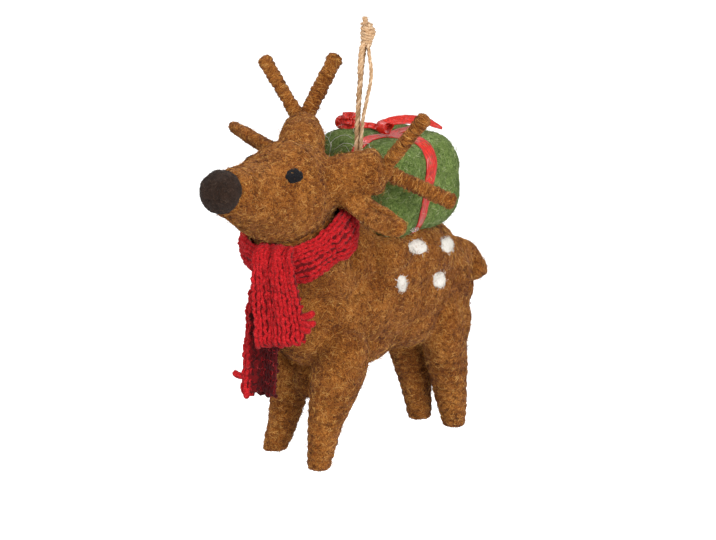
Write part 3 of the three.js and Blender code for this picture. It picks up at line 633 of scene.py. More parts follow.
LEFT_BENDS = [(0, 0), (0.15, -0.5), (0.4, -1.4), (0.62, -1.2), (0.75, 0.4), (0.87, 1.8), (1, 0)]
RIGHT_BENDS = [(0, 0), (0.15, -0.2), (0.4, -0.6), (0.7, -1), (0.9, -0.6), (1, 0)]
strand_lines = {"left": strand_route(1, LEFT_BENDS), "right": strand_route(-1, RIGHT_BENDS)}
strands = {}
for word, line in strand_lines.items():
    twine = twine_mesh(f"{word}_twine", [line], rng, STRAND_DIAMETERS[word])
    strands[word] = show(f"{word}_twine", twine, JUTE, "jute_twine", replaces=[f"twine_{word}_strand"])


def knot_lines():
    """The overhand knot, pulled tight: both strands stand up in its core, and one winds round them."""
    left = [(0.95, 0, -0.3), (0.9, -0.3, 2), (0.6, 0.2, 5), (1.1, -0.2, 7.2)]
    right = [(-0.95, 0, -0.3), (-0.8, 0.3, 2), (-0.4, -0.2, 5.5), (-0.5, 0.1, 8.9)]
    routes = [smooth_line([Vector(point) for point in route], 40) for route in (left, right)]
    wound = []
    for step in range(KNOT_STEPS + 1):
        share = step / KNOT_STEPS
        turn = 2 * math.pi * KNOT_TURNS * share
        swell = math.sin(math.pi * share ** 1.4)
        out = Vector((math.cos(turn), math.sin(turn), 0)) * (0.9 + 0.75 * swell)
        wound.append(out + KNOT_LEAN * swell + UP * (0.2 + KNOT_HEIGHT * share))
    return [[place(HOOK + point) for point in route] for route in (*routes, wound)]


knot_routes = knot_lines()
knot_mesh = twine_mesh("overhand_knot", knot_routes, rng)
knot = show("overhand_knot", knot_mesh, JUTE, "jute_twine", "hanger", ["twine_knot"])
cut_route = smooth_line([place(HOOK + Vector(step)) for step in CUT_END], 24)
cut_mesh = twine_mesh("twine_end", [cut_route], rng)
cut_end = show("twine_end", cut_mesh, JUTE, "jute_twine", replaces=["twine_cut_end"])


def stray_hairs(rng, line, count, reach):
    """Pale bast fibres that have come loose along a line of twine."""
    hairs = []
    for _ in range(count):
        start = rng.choice(line)
        heading = Vector((rng.gauss(0, 1), rng.gauss(0, 1), rng.gauss(0, 0.7))).normalized()
        bend = Vector((rng.gauss(0, 1), rng.gauss(0, 1), rng.gauss(0, 1))) * 0.35
        length = reach * rng.uniform(0.4, 1) * MM
        shares = (0.1, 0.4, 0.7, 1)
        points = [start + heading * length * share + bend * length * share ** 2 for share in shares]
        radii = [width * MM for width in (0.06, 0.05, 0.04, 0.015)]
        hairs.append((points, radii, rng.uniform(0.6, 1)))
    return hairs


hairs = [hair for line in strand_lines.values() for hair in stray_hairs(rng, line, 70, 2.2)]
twine_hairs = show_strands("twine_hairs", hairs, JUTE, "jute_twine")
hairs = [hair for line in knot_routes for hair in stray_hairs(rng, line, 60, 2)]
hairs += [hair for line in knot_routes for hair in stray_hairs(rng, line[-4:], 22, 2)]
knot_fray = show_strands("knot_fray", hairs, JUTE, "jute_twine", "hanger")

for word, with_pieces in (("left", [twine_hairs, knot, knot_fray, cut_end]), ("right", [])):
    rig.cord(
        strands[word], exit=strand_lines[word][0], length=line_length(strand_lines[word]),
        diameter=STRAND_DIAMETERS[word] * MM, far_end="knot", stiffness="limp", lay="taut",
        path=strand_lines[word], with_pieces=with_pieces,
    )


# Wool felt: its scaly fibres scatter light widely and have a faint halo of sheen
WOOL = {"Roughness": 0.95, "Specular IOR Level": 0.12, "Sheen Weight": 0.06, "Sheen Roughness": 0.5}


def felt(name, stops, fleck=0.8):
    """Needle-felted wool: matt and fibrous, with lighter and darker fibres mixed through in flecks."""
    made, tree, shader = blank_material(name)
    flecks = grain(tree, fleck, 4, Roughness=0.7, Distortion=1.8)
    colour = ramp(tree, mix(tree, 0.2, flecks, grain(tree, 9, 2)), stops)
    feed(tree, shader, {"Base Color": colour, "Normal": bump(tree, flecks, 0.9, 0.35), **WOOL})
    return made


def fibres(name, stops):
    """Loose wool fibres of a felt: each has one shade of its heather mix."""
    made, tree, shader = blank_material(name)
    feed(tree, shader, {"Base Color": ramp(tree, strand_shade(tree), stops), **WOOL})
    return made


# The brown felt under the loose fibres is a little darker than its fibres: its own wool colour, with painted shade
# between the fibres.
BROWN_FELT_AND_PAINTED_SHADE = felt("brown_wool_felt", [(0.38, "3d1a06"), (0.5, "814615"), (0.62, "c2843f")], 0.65)
BROWN_FIBRE = fibres("brown_wool_fibre", [(0, "301404"), (0.35, "804715"), (0.7, "b67833"), (1, "dfa95e")])
NOSE_FELT = felt("dark_wool_felt", [(0.3, "1b120d"), (0.5, "2d1f17"), (0.7, "43312a")], 0.8)
NOSE_FIBRE = fibres("dark_wool_fibre", [(0, "170f0b"), (0.6, "35261d"), (1, "5a463a")])
EYE_FELT = felt("black_wool_felt", [(0.3, "0b0a0b"), (0.5, "141315"), (0.7, "232126")], 0.7)
EYE_FIBRE = fibres("black_wool_fibre", [(0, "0a090a"), (1, "26252b")])
WHITE_FELT = felt("white_wool_felt", [(0.3, "d3cbc0"), (0.5, "ece7de"), (0.7, "faf7f2")], 0.8)
WHITE_FIBRE = fibres("white_wool_fibre", [(0, "cfc6ba"), (1, "fbf8f3")])
# The green felt is likewise a little darker than its fibres, as painted shade between them.
GREEN_FELT_AND_PAINTED_SHADE = felt("green_wool_felt", [(0.36, "35471e"), (0.5, "617738"), (0.64, "93a264")], 0.9)
GREEN_FIBRE = fibres("green_wool_fibre", [(0, "384b21"), (0.45, "617839"), (0.8, "8b9b5c"), (1, "c0c598")])


def felted_form(name, nodes, extra=(), rounds=6):
    """The named solids and extra lumps felted into one skin: swollen, joined and smoothed over the seams."""
    whole = bmesh.new()
    for node in nodes:
        part = bmesh.new()
        part.from_mesh(frame["nodes"][node].data)
        bmesh.ops.remove_doubles(part, verts=part.verts, dist=1e-6)
        part.normal_update()
        for vert in part.verts:
            vert.co += vert.normal * FELT_SWELL * MM
        copy = bpy.data.meshes.new("part")
        part.to_mesh(copy)
        part.free()
        whole.from_mesh(copy)
        bpy.data.meshes.remove(copy)
    for centre, halves in extra:
        lump = bmesh.ops.create_icosphere(whole, subdivisions=4, radius=MM)["verts"]
        bmesh.ops.scale(whole, verts=lump, vec=halves)
        bmesh.ops.translate(whole, verts=lump, vec=place(Vector(centre)))
    mesh = bpy.data.meshes.new(name)
    whole.to_mesh(mesh)
    whole.free()
    holder = bpy.data.objects.new(name, mesh)
    remesh = holder.modifiers.new("felt", "REMESH")
    remesh.mode = "VOXEL"
    remesh.voxel_size = FELT_VOXEL * MM
    smooth = holder.modifiers.new("smooth", "SMOOTH")
    smooth.factor = 0.5
    smooth.iterations = rounds
    return applied(holder)


def push(mesh, depth):
    """Moves each point of a surface along its normal by depth(point, normal), in mm of the deer's frame."""
    moves = [v.normal * depth(v.co / MM + HOOK, v.normal) * MM for v in mesh.vertices]
    for vertex, move in zip(mesh.vertices, moves):
        vertex.co += move
    mesh.shade_smooth()
    return mesh


def lumps(point):
    """The uneven surface that the needle leaves."""
    return 0.3 * noise.noise(point / 5.5) + 0.16 * noise.noise(point / 1.9) - FELT_DRAW_IN


def nearest_leg(point):
    """The direction of the leg that a point below the belly is nearest to, and its offset from that leg."""
    legs = [(high - low, point - low.lerp(high, point.z / high.z)) for low, high in LEG_LINES]
    return min(legs, key=lambda leg: leg[1].length)


def leg_winding(point):
    """Low ridges of the roving that is wound round a leg, fading out towards the belly."""
    if point.z > LEG_TOP:
        return 0
    _, offset = nearest_leg(point)
    turn = math.atan2(offset.y, offset.x) / (2 * math.pi)
    uneven = 0.6 * noise.noise(point / 5)
    ridge = abs(math.sin(math.pi * (point.z / LEG_WINDING_PITCH + turn + uneven)))
    fade = min(1, (LEG_TOP - point.z) / 9) * min(1, point.z / 1.5)
    return 0.55 * fade * (ridge ** 0.6 - 0.6)


def mixed_heading(point, normal, rng):
    """Any way along the surface, as in dry felting."""
    return Vector((rng.gauss(0, 1), rng.gauss(0, 1), rng.gauss(0, 1)))


def body_heading(point, normal, rng):
    """Mixed on the barrel, and round the leg on the legs."""
    spot = point / MM + HOOK
    if spot.z > LEG_TOP + rng.uniform(-4, 7):
        return mixed_heading(point, normal, rng)
    line, _ = nearest_leg(spot)
    return normal.cross(line.normalized()) + mixed_heading(point, normal, rng) * 0.16


def lay_fibres(
    rng, mesh, lifts, count, length, heading=mixed_heading, curl=0.9, width=FIBRE_WIDTH, surface=None
):
    """Fibres that start at random points of a mesh and wander along a surface, at the heights in lifts."""
    surface = surface or surface_of(mesh)
    faces = rng.choices(list(mesh.polygons), weights=[face.area for face in mesh.polygons], k=count)
    tips = [0.45] + [1] * (len(lifts) - 2) + [0.35]
    laid = []
    for face in faces:
        weights = [rng.random() for _ in face.vertices]
        corners = [mesh.vertices[i].co * weight for i, weight in zip(face.vertices, weights)]
        point = sum(corners, Vector()) / sum(weights)
        direction = heading(point, face.normal, rng)
        step = length * rng.uniform(0.6, 1.35) / (len(lifts) - 1) * MM
        height = rng.uniform(0.6, 1.4) * MM
        line = []
        for lift in lifts:
            near, normal, _, _ = surface.find_nearest(point)
            line.append(near + normal * lift * height)
            direction = (direction - normal * direction.dot(normal)).normalized()
            direction.rotate(Quaternion(normal, rng.gauss(0, curl)))
            point = near + direction * step
        radius = width / 2 * rng.uniform(0.7, 1.3) * MM
        shade = 0.17 + 0.66 * rng.random() + 0.7 * noise.noise(line[1] / (SHADE_CLUMP * MM))
        laid.append((line, [radius * tip for tip in tips], max(0, min(1, shade))))
    return laid


# Kinds of fibre: heights over the surface in mm, from root to tip
LYING = (-0.03, 0.1, 0.12, -0.03)
WOUND = (-0.03, 0.08, 0.13, 0.08, -0.03)
FLUSH = (-0.06, 0.06, 0.1, 0.06, -0.06)
FRINGE = (0.2, 0.3, 0.32, 0.24, 0.05)
HALO = (-0.05, 0.1, 0.22, 0.3, 0.25)
LOOSE = (0, 0.2, 0.45, 0.7, 0.85)
FUZZ = (0, 0.4, 0.85, 1.1)
WISP = (0.1, 0.5, 1, 1.4, 1.6, 1.7, 1.6, 1.4, 1, 0.6, 0.1)

# Body: torso, neck, legs and tail in one felted skin over the wires
BODY_NODES = [
    "torso", "neck", "tail", "front_left_leg", "front_right_leg", "hind_left_leg", "hind_right_leg",
]
WIRES = ["spine_wire", "front_leg_wire", "hind_leg_wire"]
body_mesh = push(
    felted_form("body_felt", BODY_NODES + WIRES + ["twine_stitch"], BODY_LUMPS),
    lambda point, normal: lumps(point) + leg_winding(point),
)
body_felt = show("body_felt", body_mesh, BROWN_FELT_AND_PAINTED_SHADE, "brown_felt", replaces=BODY_NODES)
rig.padded(body_felt, fill=1)

rng = random.Random(11)
for number in (1, 2, 3, 4):
    laid = lay_fibres(rng, body_mesh, LYING, count=6800, length=1.9, heading=body_heading)
    laid += lay_fibres(rng, body_mesh, WOUND, count=1200, length=3.4, heading=body_heading, width=0.1)
    laid += lay_fibres(rng, body_mesh, LOOSE, count=800, length=2.2, heading=body_heading, width=0.08)
    show_strands(f"body_fibres_{number}", laid, BROWN_FIBRE, "brown_felt")


def head_turn(direction):
    """A direction of the head's own frame in the deer's."""
    return Matrix.Rotation(math.radians(HEAD_ROLL), 3, "Y") @ direction


def blunt_stalks(mesh):
    """Draws the tip of each antler stalk back and in, to where its tines leave it."""
    for word, tip in STALK_TIPS.items():
        end = HEAD_CENTRE + head_turn(tip)
        axis = head_turn(tip - STALK_BENDS[word]).normalized()
        for vertex in mesh.vertices:
            offset = vertex.co / MM + HOOK - end
            run = offset.dot(axis)
            if run > -STALK_BLUNTING and offset.length < 3 * STALK_BLUNTING:
                over = run + STALK_BLUNTING
                side = (offset - axis * run) * (1 - 0.2 * min(1, over / STALK_BLUNTING))
                vertex.co = place(end + axis * (run - 0.45 * over) + side)
    return mesh


right_ear = frame["nodes"]["right_ear"].data
EAR_TIP = min((vertex.co for vertex in right_ear.vertices), key=lambda co: co.x) / MM + HOOK
EAR_WOUND = 20


def ear_winding(point):
    """Low ridges where the roving of the right ear is wound round it, and a thicker tip."""
    run = (point - EAR_TIP).length
    if run > EAR_WOUND:
        return 0
    ridge = abs(math.sin(math.pi * (run / 2 + 0.5 * noise.noise(point / 4))))
    fade = min(1, (EAR_WOUND - run) / 8)
    return (0.35 * (ridge ** 0.6 - 0.6) - 0.2) * fade + 0.7 * max(0, 1 - run / 4)


EAR_MIDDLE = sum(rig.box("left_ear"), Vector()) / 2 / MM + HOOK
EAR_SLIMMING = 4.2
EAR_REACH = 11


def ear_slimming(point, normal):
    """How far the upper edge of the left ear is drawn in, so that it stands clear of the antler over it."""
    near = max(0, 1 - ((point - EAR_MIDDLE).length / EAR_REACH) ** 2)
    return EAR_SLIMMING * near * max(0, normal.z)


# Head: skull, antler stalks and ears in one felted skin
HEAD_NODES = ["head", "left_antler_stalk", "right_antler_stalk", "left_ear", "right_ear"]
head_mesh = push(
    blunt_stalks(felted_form("head_felt", HEAD_NODES + ["spine_wire"], HEAD_LUMPS)),
    lambda point, normal: lumps(point) + ear_winding(point) - ear_slimming(point, normal),
)
head_felt = show("head_felt", head_mesh, BROWN_FELT_AND_PAINTED_SHADE, "brown_felt", replaces=HEAD_NODES)
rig.padded(head_felt, fill=1)
for number in (1, 2):
    laid = lay_fibres(rng, head_mesh, LYING, count=7000, length=1.7)
    laid += lay_fibres(rng, head_mesh, WOUND, count=1200, length=3.2, width=0.1)
    laid += lay_fibres(rng, head_mesh, LOOSE, count=500, length=1.8, width=0.08)
    show_strands(f"head_fibres_{number}", laid, BROWN_FIBRE, "brown_felt")


def tine_lines():
    """Each tine's name, its root and direction in the deer's frame, and its diameter."""
    for word, tip in STALK_TIPS.items():
        names = [name for name in TINES if name.startswith(word)]
        leans = [TINES[name][0].normalized() for name in names]
        apart = (leans[0] - leans[1]).normalized() * TINE_SPACINGS[word] / 2
        for name, lean, shift in zip(names, leans, (apart, -apart)):
            yield name, HEAD_CENTRE + head_turn(tip + shift), head_turn(lean), TINES[name][1]


def tine_put(root, lean, diameter):
    """Roving wound in a helix round a tine: ridges of one pitch over a rounded tip."""
    side = lean.orthogonal().normalized()
    rise = lean.cross(side)

    def put(along, across):
        turn = math.pi * (across + 1)
        run = TINE_LENGTH * along
        tip = max(0, run - (TINE_LENGTH - diameter / 2)) / (diameter / 2)
        swell = math.sqrt(max(0, 1 - tip ** 2)) * min(1, run / 0.4)
        out = side * math.cos(turn) + rise * math.sin(turn)
        uneven = 0.4 * noise.noise((root + lean * run + out * 2) / 2.6)
        ridge = abs(math.sin(math.pi * (run / WINDING_PITCH - (across + 1) / 2 + uneven)))
        bulge = 0.14 * noise.noise((root + lean * run) / 3) + 0.2 * max(0, 1 - (TINE_LENGTH - run) / 4)
        radius = diameter / 2 * swell * (0.91 + 0.17 * ridge ** 0.6 + bulge)
        return place(root + lean * run + out * radius)

    return put


def tine_heading(lean):
    """Round the tine, a little along it."""

    def heading(point, normal, rng):
        return normal.cross(lean) + lean * 0.1 + mixed_heading(point, normal, rng) * 0.12

    return heading


laid = []
for name, root, lean, diameter in tine_lines():
    tine_mesh = swept_grid(f"{name}_roving", 110, 28, tine_put(root, lean, diameter))
    show(f"{name}_roving", tine_mesh, BROWN_FELT_AND_PAINTED_SHADE, "brown_felt", replaces=[f"{name}_yarn", f"{name}_wire"])
    heading = tine_heading(lean)
    laid += lay_fibres(rng, tine_mesh, WOUND, count=520, length=3.4, heading=heading, curl=0.14)
    laid += lay_fibres(rng, tine_mesh, LOOSE, count=60, length=2, heading=heading, width=0.08)
show_strands("tine_fibres", laid, BROWN_FIBRE, "brown_felt")


def uneven_ball(name, centre, halves, uneven=0.05):
    """A small ball of felt or glue. centre and halves are in the deer's frame, in mm."""
    bm = bmesh.new()
    bmesh.ops.create_icosphere(bm, subdivisions=5, radius=1)
    for vert in bm.verts:
        out = Vector(a * b for a, b in zip(vert.co, halves))
        vert.co = place(centre + out * (1 + uneven * noise.noise(vert.co * 2.3)))
    return finish_mesh(name, bm)


def tuft(name, centre, ways, size, lay):
    """Wool needled flat, with an uneven edge. ways and size are those of its two flat directions.

    lay(flat, height) gives each of its points, from its offset in the flat and its share of the height.
    """
    bm = bmesh.new()
    bmesh.ops.create_icosphere(bm, subdivisions=4, radius=1)
    for vert in bm.verts:
        seed = centre / MM
        uneven = 1 + 0.18 * noise.noise(vert.co * 1.7 + seed) + 0.1 * noise.noise(vert.co * 5 + seed)
        flat = ways[0] * vert.co.x * size[0] / 2 + ways[1] * vert.co.y * size[1] / 2
        vert.co = lay(flat * uneven * MM, vert.co.z)
    return finish_mesh(name, bm)


def eye_tuft(name, centre, normal):
    """An eye, flat against the head, its length along the head's."""
    along = (Y_WAY - normal * normal.dot(Y_WAY)).normalized()
    ways = (along, normal.cross(along))
    rise = normal * EYE_HEIGHT * MM
    return tuft(name, centre, ways, EYE_SIZE, lambda flat, height: centre + flat + rise * height)


def spot_tuft(name, centre, sight, size):
    """A spot on the flank, laid where it is seen along a line of sight."""
    right = UP.cross(sight).normalized()

    def lay(flat, height):
        hit, normal, _, _ = body_surface.ray_cast(centre + flat + sight, -sight)
        return hit + normal * height * SPOT_HEIGHT * MM

    return tuft(name, centre, (right, sight.cross(right)), size, lay)


head_surface = surface_of(head_mesh)
body_surface = surface_of(body_mesh)

nose = uneven_ball("nose_felt", HEAD_CENTRE + head_turn(NOSE_PLACE), [NOSE_DIAMETER / 2] * 3)
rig.padded(show("nose_felt", nose, NOSE_FELT, "dark_felt", replaces=["nose"]), fill=1)
laid = lay_fibres(rng, nose, FLUSH, count=1300, length=1.8, width=0.1)
laid += lay_fibres(rng, nose, LOOSE, count=160, length=1.4, width=0.07)
show_strands("nose_fibres", laid, NOSE_FIBRE, "dark_felt")

bare = []
laid = []
for node in ("left_eye", "right_eye"):
    low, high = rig.box(node)
    centre, normal, _, _ = head_surface.find_nearest((low + high) / 2 + EYE_SHIFTS[node] * MM)
    eye = eye_tuft(f"{node}_felt", centre, normal)
    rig.padded(show(f"{node}_felt", eye, EYE_FELT, "black_felt", replaces=[node]), fill=1)
    bare.append(surface_of(eye))
    laid += lay_fibres(rng, eye, FLUSH, count=260, length=1.9, width=0.1)
show_strands("eye_fibres", laid, EYE_FIBRE, "black_felt")

# White spots on the flanks, each where the camera, or its mirror image on the other side, sees it
laid = []
for side, sight in (("left", view_back), ("right", Vector((-view_back.x, view_back.y, view_back.z)))):
    for number, size in enumerate(SPOT_SIZES, 1):
        node = f"{side}_spot_{number}"
        spot = spot_tuft(f"{node}_felt", sum(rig.box(node), Vector()) / 2, sight, size)
        show(f"{node}_felt", spot, WHITE_FELT, "white_felt", replaces=[node])
        bare.append(surface_of(spot))
        laid += lay_fibres(
            rng, spot, FRINGE, count=170, length=1.2, curl=0.7, width=0.1, surface=body_surface
        )
show_strands("spot_fibres", laid, WHITE_FIBRE, "white_felt")


def off_patches(fibre):
    """Whether a loose fibre of the coat starts away from the eyes and the spots."""
    return all(patch.find_nearest(fibre[0][0])[3] > BARE_EDGE * MM for patch in bare)


laid = lay_fibres(rng, body_mesh, FUZZ, count=2200, length=2.2, heading=body_heading, width=0.08)
laid += lay_fibres(rng, head_mesh, FUZZ, count=1100, length=2, width=0.08)
show_strands("coat_fuzz", [fibre for fibre in laid if off_patches(fibre)], BROWN_FIBRE, "brown_felt")


# Scarf
def knit(name, stops, lit_stops=None):
    """Soft red wool yarn of a hand knit: matt and deep red. Darker stops give it painted shade.

    With a second set of stops, these are its colours on the lit edge that the piece's attribute marks, and the first,
    darker stops are painted shade on the rest.
    """
    made, tree, shader = blank_material(name)
    hair = grain(tree, 0.45, 4, Roughness=0.7, Distortion=0.8)
    colour = ramp(tree, hair, stops)
    if lit_stops:
        turned = add(tree, "ShaderNodeAttribute", attribute_name="turned").outputs["Fac"]
        sides = {0: turned, 6: colour, 7: ramp(tree, hair, lit_stops)}
        colour = add(tree, "ShaderNodeMix", sides, data_type="RGBA").outputs[2]
    feed(tree, shader, {"Base Color": colour, "Normal": bump(tree, hair, 0.7, 0.25), **WOOL})
    return made


KNIT_REDS = [(0.28, "5e0407"), (0.5, "ac1218"), (0.72, "de383d")]
RED_KNIT = knit("red_wool_knit", KNIT_REDS)
# The back end's yarn: the knit's reds on its lit edge, and painted shade, much darker reds, on the rest of the strip,
# which hangs in the shade of the front end and the chest.
RED_KNIT_PAINTED_SHADE = knit("red_wool_purl", [(0.28, "1f0203"), (0.5, "3d0507"), (0.72, "600b0f")], KNIT_REDS)
# The cloth under the knitted yarn: its dark red is painted shade, for the shade deep between the stitches.
RED_CORE_PAINTED_SHADE = felt("red_wool_core", [(0.3, "4c0508"), (0.5, "650a0e"), (0.7, "7d1116")], 0.6)
RED_FIBRE = fibres("red_wool_fibre", [(0, "7c0a0f"), (0.5, "b5181e"), (1, "e0474b")])

# Without a seed, the vector noise that slackens the yarn would change from run to run.
noise.seed_set(YARN_SEED)


def knit_courses(rng, surface, length, width):
    """The yarn of a stockinette strip, a line for each course. surface gives each point and its normal."""
    columns = round(width / STITCH_WIDTH)
    rows = round(length / STITCH_HEIGHT)
    samples = 12
    courses = []
    for row in range(rows):
        line = []
        radii = []
        tight = rng.uniform(0.7, 0.86)
        for k in range(columns * samples + 1):
            turn = 2 * math.pi * k / samples
            across = (turn + 1.15 * math.sin(2 * turn)) / (math.pi * columns) - 1
            along = (row + 0.5 + tight * math.cos(turn)) / rows
            point, normal = surface(along, max(-1, min(1, across)))
            slack = noise.noise_vector(point / 2.3) * YARN_SLACK
            dip = STITCH_DEPTH * math.cos(2 * turn) + COLUMN_DEPTH * math.cos(turn)
            line.append(place(point + slack - normal * dip))
            radii.append(YARN_WIDTH / 2 * (1 + 0.35 * noise.noise(point / 1.6)) * MM)
        courses.append((line, radii, rng.random()))
    return courses


def yarn_end(start, steps, width=1.7):
    """A stub of loose yarn from a start through further points, given as steps from it."""
    points = [start] + [start + Vector(step) for step in steps]
    line = smooth_line([place(point) for point in points], 8)
    radius = width / 2 * MM
    return (line, [radius * share for share in (0.6, 0.9, 1, 1, 1, 1, 0.95, 0.85, 0.55)], 0.5)


def scarf_part(name, surface, length, width, nodes, held, ends=(), bodies=None, bend=None, lit_edge_of=None):
    """One stretch of the scarf: its cloth, the knitted yarn on it and the yarn's halo."""
    rng = random.Random(len(name))
    cloth_mesh = swept_grid(
        f"{name}_cloth", 60, 14, lambda along, across: place(surface(along, across)[0]), CLOTH_THICKNESS
    )
    knit_mesh = strand_mesh(f"{name}_knit", knit_courses(rng, surface, length, width) + list(ends), sides=7)
    halo = lay_fibres(rng, knit_mesh, HALO, count=int(length * width * 1.6), length=2.2, width=0.08)
    body = None if bodies else "deer"
    # The cloth shows between the stitches as painted shade.
    cloth = show(f"{name}_cloth", cloth_mesh, RED_CORE_PAINTED_SHADE, "red_knit", body, nodes)
    # Given a lit edge, the yarn takes the knit with painted shade, dark except on that edge.
    yarn = show(f"{name}_knit", knit_mesh, RED_KNIT_PAINTED_SHADE if lit_edge_of else RED_KNIT, "red_knit", body)
    if lit_edge_of:
        sides = [float(lit_edge_of(vertex.co / MM + HOOK)) for vertex in knit_mesh.vertices]
        knit_mesh.attributes.new("turned", "FLOAT", "POINT").data.foreach_set("value", sides)
    fuzz = show_strands(f"{name}_fuzz", halo, RED_FIBRE, "red_knit", body)
    if bodies:
        for piece in (cloth, yarn, fuzz):
            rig.blend(piece, *bodies, start=place(bend[0]), end=place(bend[1]))
    flat = (width * MM, length * MM)
    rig.sheet(cloth, flat=flat, held=held, rests_on=["body_felt"], with_pieces=[yarn, fuzz])


NECK_LINE = Vector((0, -math.sin(math.radians(NECK_LEAN)), math.cos(math.radians(NECK_LEAN))))
NECK_BACK = Vector((0, math.cos(math.radians(NECK_LEAN)), math.sin(math.radians(NECK_LEAN))))


def wrap_surface(along, across):
    """The band round the neck, its edges rolled in. In places it bunches, spreads and droops."""
    turn = 2 * math.pi * along
    out = X_WAY * math.cos(turn) + NECK_BACK * math.sin(turn)
    roll = math.radians(100) * across
    bunch = hump(along, WRAP_BUNCH, 0.07)
    spread = hump(along, WRAP_SPREAD, 0.11)
    droop = hump(along, WRAP_DROOP, 0.1) * max(0, -math.sin(roll))
    wave = 0.35 * math.sin(3 * turn + 1) + 0.3 * math.sin(7 * turn) + bunch + 0.8 * spread
    radial = WRAP_RADIUS + 0.2 * bunch + 1.2 * spread + (WRAP_BULGE + 0.5 * wave) * math.cos(roll)
    rise = (WRAP_HALF_WIDTH + wave) * math.sin(roll) - 0.6 * spread - 1.3 * bunch - 2.6 * droop
    normal = out * WRAP_HALF_WIDTH * math.cos(roll) + NECK_LINE * WRAP_BULGE * math.sin(roll)
    return COLLAR + out * radial + NECK_LINE * rise, normal.normalized()


WRAP_LENGTH = 2 * math.pi * 16
WRAP_WIDTH = 12
scarf_part("scarf_wrap", wrap_surface, WRAP_LENGTH, WRAP_WIDTH, ["scarf_wrap"], "gathered")

FRONT_TURN = math.radians(SCARF_FRONT_TURN)
FRONT_OUT = Vector((math.sin(FRONT_TURN), -math.cos(FRONT_TURN), 0))
FRONT_ACROSS = Vector((math.cos(FRONT_TURN), math.sin(FRONT_TURN), 0))
FRONT_PATH = [
    (1, 14, 71.6), (1, 16.4, 74.2), (1.2, 19, 72.8), (1.6, 19.8, 68),
    (2.3, 19.6, 61), (3.2, 19.2, 52), (4.2, 18.6, 43),
]
FRONT_HALF_WIDTHS = [5.4, 5.8, 6.3, 7, 7.7, 8.2, 8.5]
FRONT_SLANT = 0.04
FRONT_LENGTH = 37
FRONT_WIDTH = 15.4


def hanging_surface(path, across_way, out_way, half_widths, folds):
    """A strip that hangs along a path, with a half width at each point and folds(along, across) outwards."""
    count = 60
    centres = smooth_line(path, count)
    halves = [half.x for half in smooth_line([X_WAY * half for half in half_widths], count)]

    def surface(along, across):
        i = int(max(0, min(count - 1, along * count)))
        forward = centres[i + 1] - centres[i]
        centre = centres[i] + forward * (along * count - i)
        normal = across_way.cross(forward).normalized()
        if normal.dot(out_way + UP * 0.5) < 0:
            normal = -normal
        return centre + across_way * halves[i] * across + normal * folds(along, across), normal

    return surface


front_base = Vector((COLLAR.x, COLLAR.y, 0))


def front_fold(along, across):
    """Lengthwise folds, gathered at the top, and a hem that rolls up."""
    gathers = 0.8 * along * math.sin(across * 4.7 + 0.6) + 0.5 * (1 - along) * math.sin(across * 8)
    return gathers + 1.3 * hump(along, 0.95, 0.05)


front_strip = hanging_surface(
    [front_base + FRONT_ACROSS * side + FRONT_OUT * out + UP * z for side, out, z in FRONT_PATH],
    FRONT_ACROSS, FRONT_OUT, FRONT_HALF_WIDTHS, front_fold,
)


def front_surface(along, across):
    """The front end, whose edge under the deer's left side is the shorter one."""
    return front_strip(along * (1 - FRONT_SLANT * (across + 1)), across)


front_corner = front_surface(0.86, 0.9)[0]
front_tufts = [
    yarn_end(front_corner, [FRONT_ACROSS * 2.8 + UP, FRONT_ACROSS * 4.6 + UP * 2.4], 2.4),
    yarn_end(front_corner - UP * 1.4, [FRONT_ACROSS * 3 - UP * 0.4, FRONT_ACROSS * 5 + UP * 0.6], 2.4),
    yarn_end(front_corner - UP * 2.8, [FRONT_ACROSS * 2 - UP * 0.8, FRONT_ACROSS * 3.4 - UP], 2.6),
]
FRONT_HINGE = Vector((6.3, -46, 71.8))
scarf_part(
    "scarf_front", front_surface, FRONT_LENGTH, FRONT_WIDTH, ["scarf_front_end"], "hung", front_tufts,
    ("deer", "scarf_front"), (FRONT_HINGE, FRONT_HINGE - UP * 5),
)

BACK_LENGTH = 45
BACK_WIDTH = 10
BACK_PATH = [(-2, -39.6, 68), (-2.2, -40.6, 63), (-2.8, -41.4, 52), (-3.8, -41.4, 39), (-5.6, -41, 23.8)]
BACK_HALF_WIDTHS = [3.2, 3.8, 4.3, 4.7, 5.1]
BACK_FOLD = 2.2
# How far out from the back end's middle line, in mm, its lit edge begins; the yarn inside it is painted in shade.
BACK_LIT_EDGE = 1.6


def back_fold(along, across):
    """The strip is creased lengthwise: one edge stands forward and the rest hangs back in its shade."""
    forward = max(-1, min(1, (across + 0.25) / -0.3))
    return BACK_FOLD * min(1, 2 * along) * forward


def back_lit_edge(point):
    """Whether a point is on the edge that is left lit and keeps the knit's reds. The rest of the strip is painted in
    shade.
    """
    top = Vector(BACK_PATH[0])
    drop = (top - Vector(BACK_PATH[-1])) / (top.z - BACK_PATH[-1][2])
    return point.x < top.x - drop.x * (top.z - point.z) - BACK_LIT_EDGE


back_line = [Vector(point) for point in BACK_PATH]
back_surface = hanging_surface(back_line, X_WAY, -Y_WAY, BACK_HALF_WIDTHS, back_fold)
back_tufts = [
    yarn_end(back_surface(0.92, -0.95)[0], [(-2.4, -0.6, 0.2), (-3.6, -1, 1)], 2.2),
    yarn_end(back_surface(0.97, -0.55)[0], [(-0.2, -0.3, -1.6), (0, -0.3, -3.6)], 2.2),
    yarn_end(back_surface(0.97, 0.4)[0], [(0.4, -0.3, -1.4), (0, -0.3, -3)], 2.2),
]
BACK_HINGE = Vector((-5, -40, 63.9))
# The back end's yarn is painted in shade, all but its lit edge.
scarf_part(
    "scarf_back", back_surface, BACK_LENGTH, BACK_WIDTH, ["scarf_back_end"], "hung", back_tufts,
    ("deer", "scarf_back"), (BACK_HINGE, BACK_HINGE - UP * 8), back_lit_edge,
)


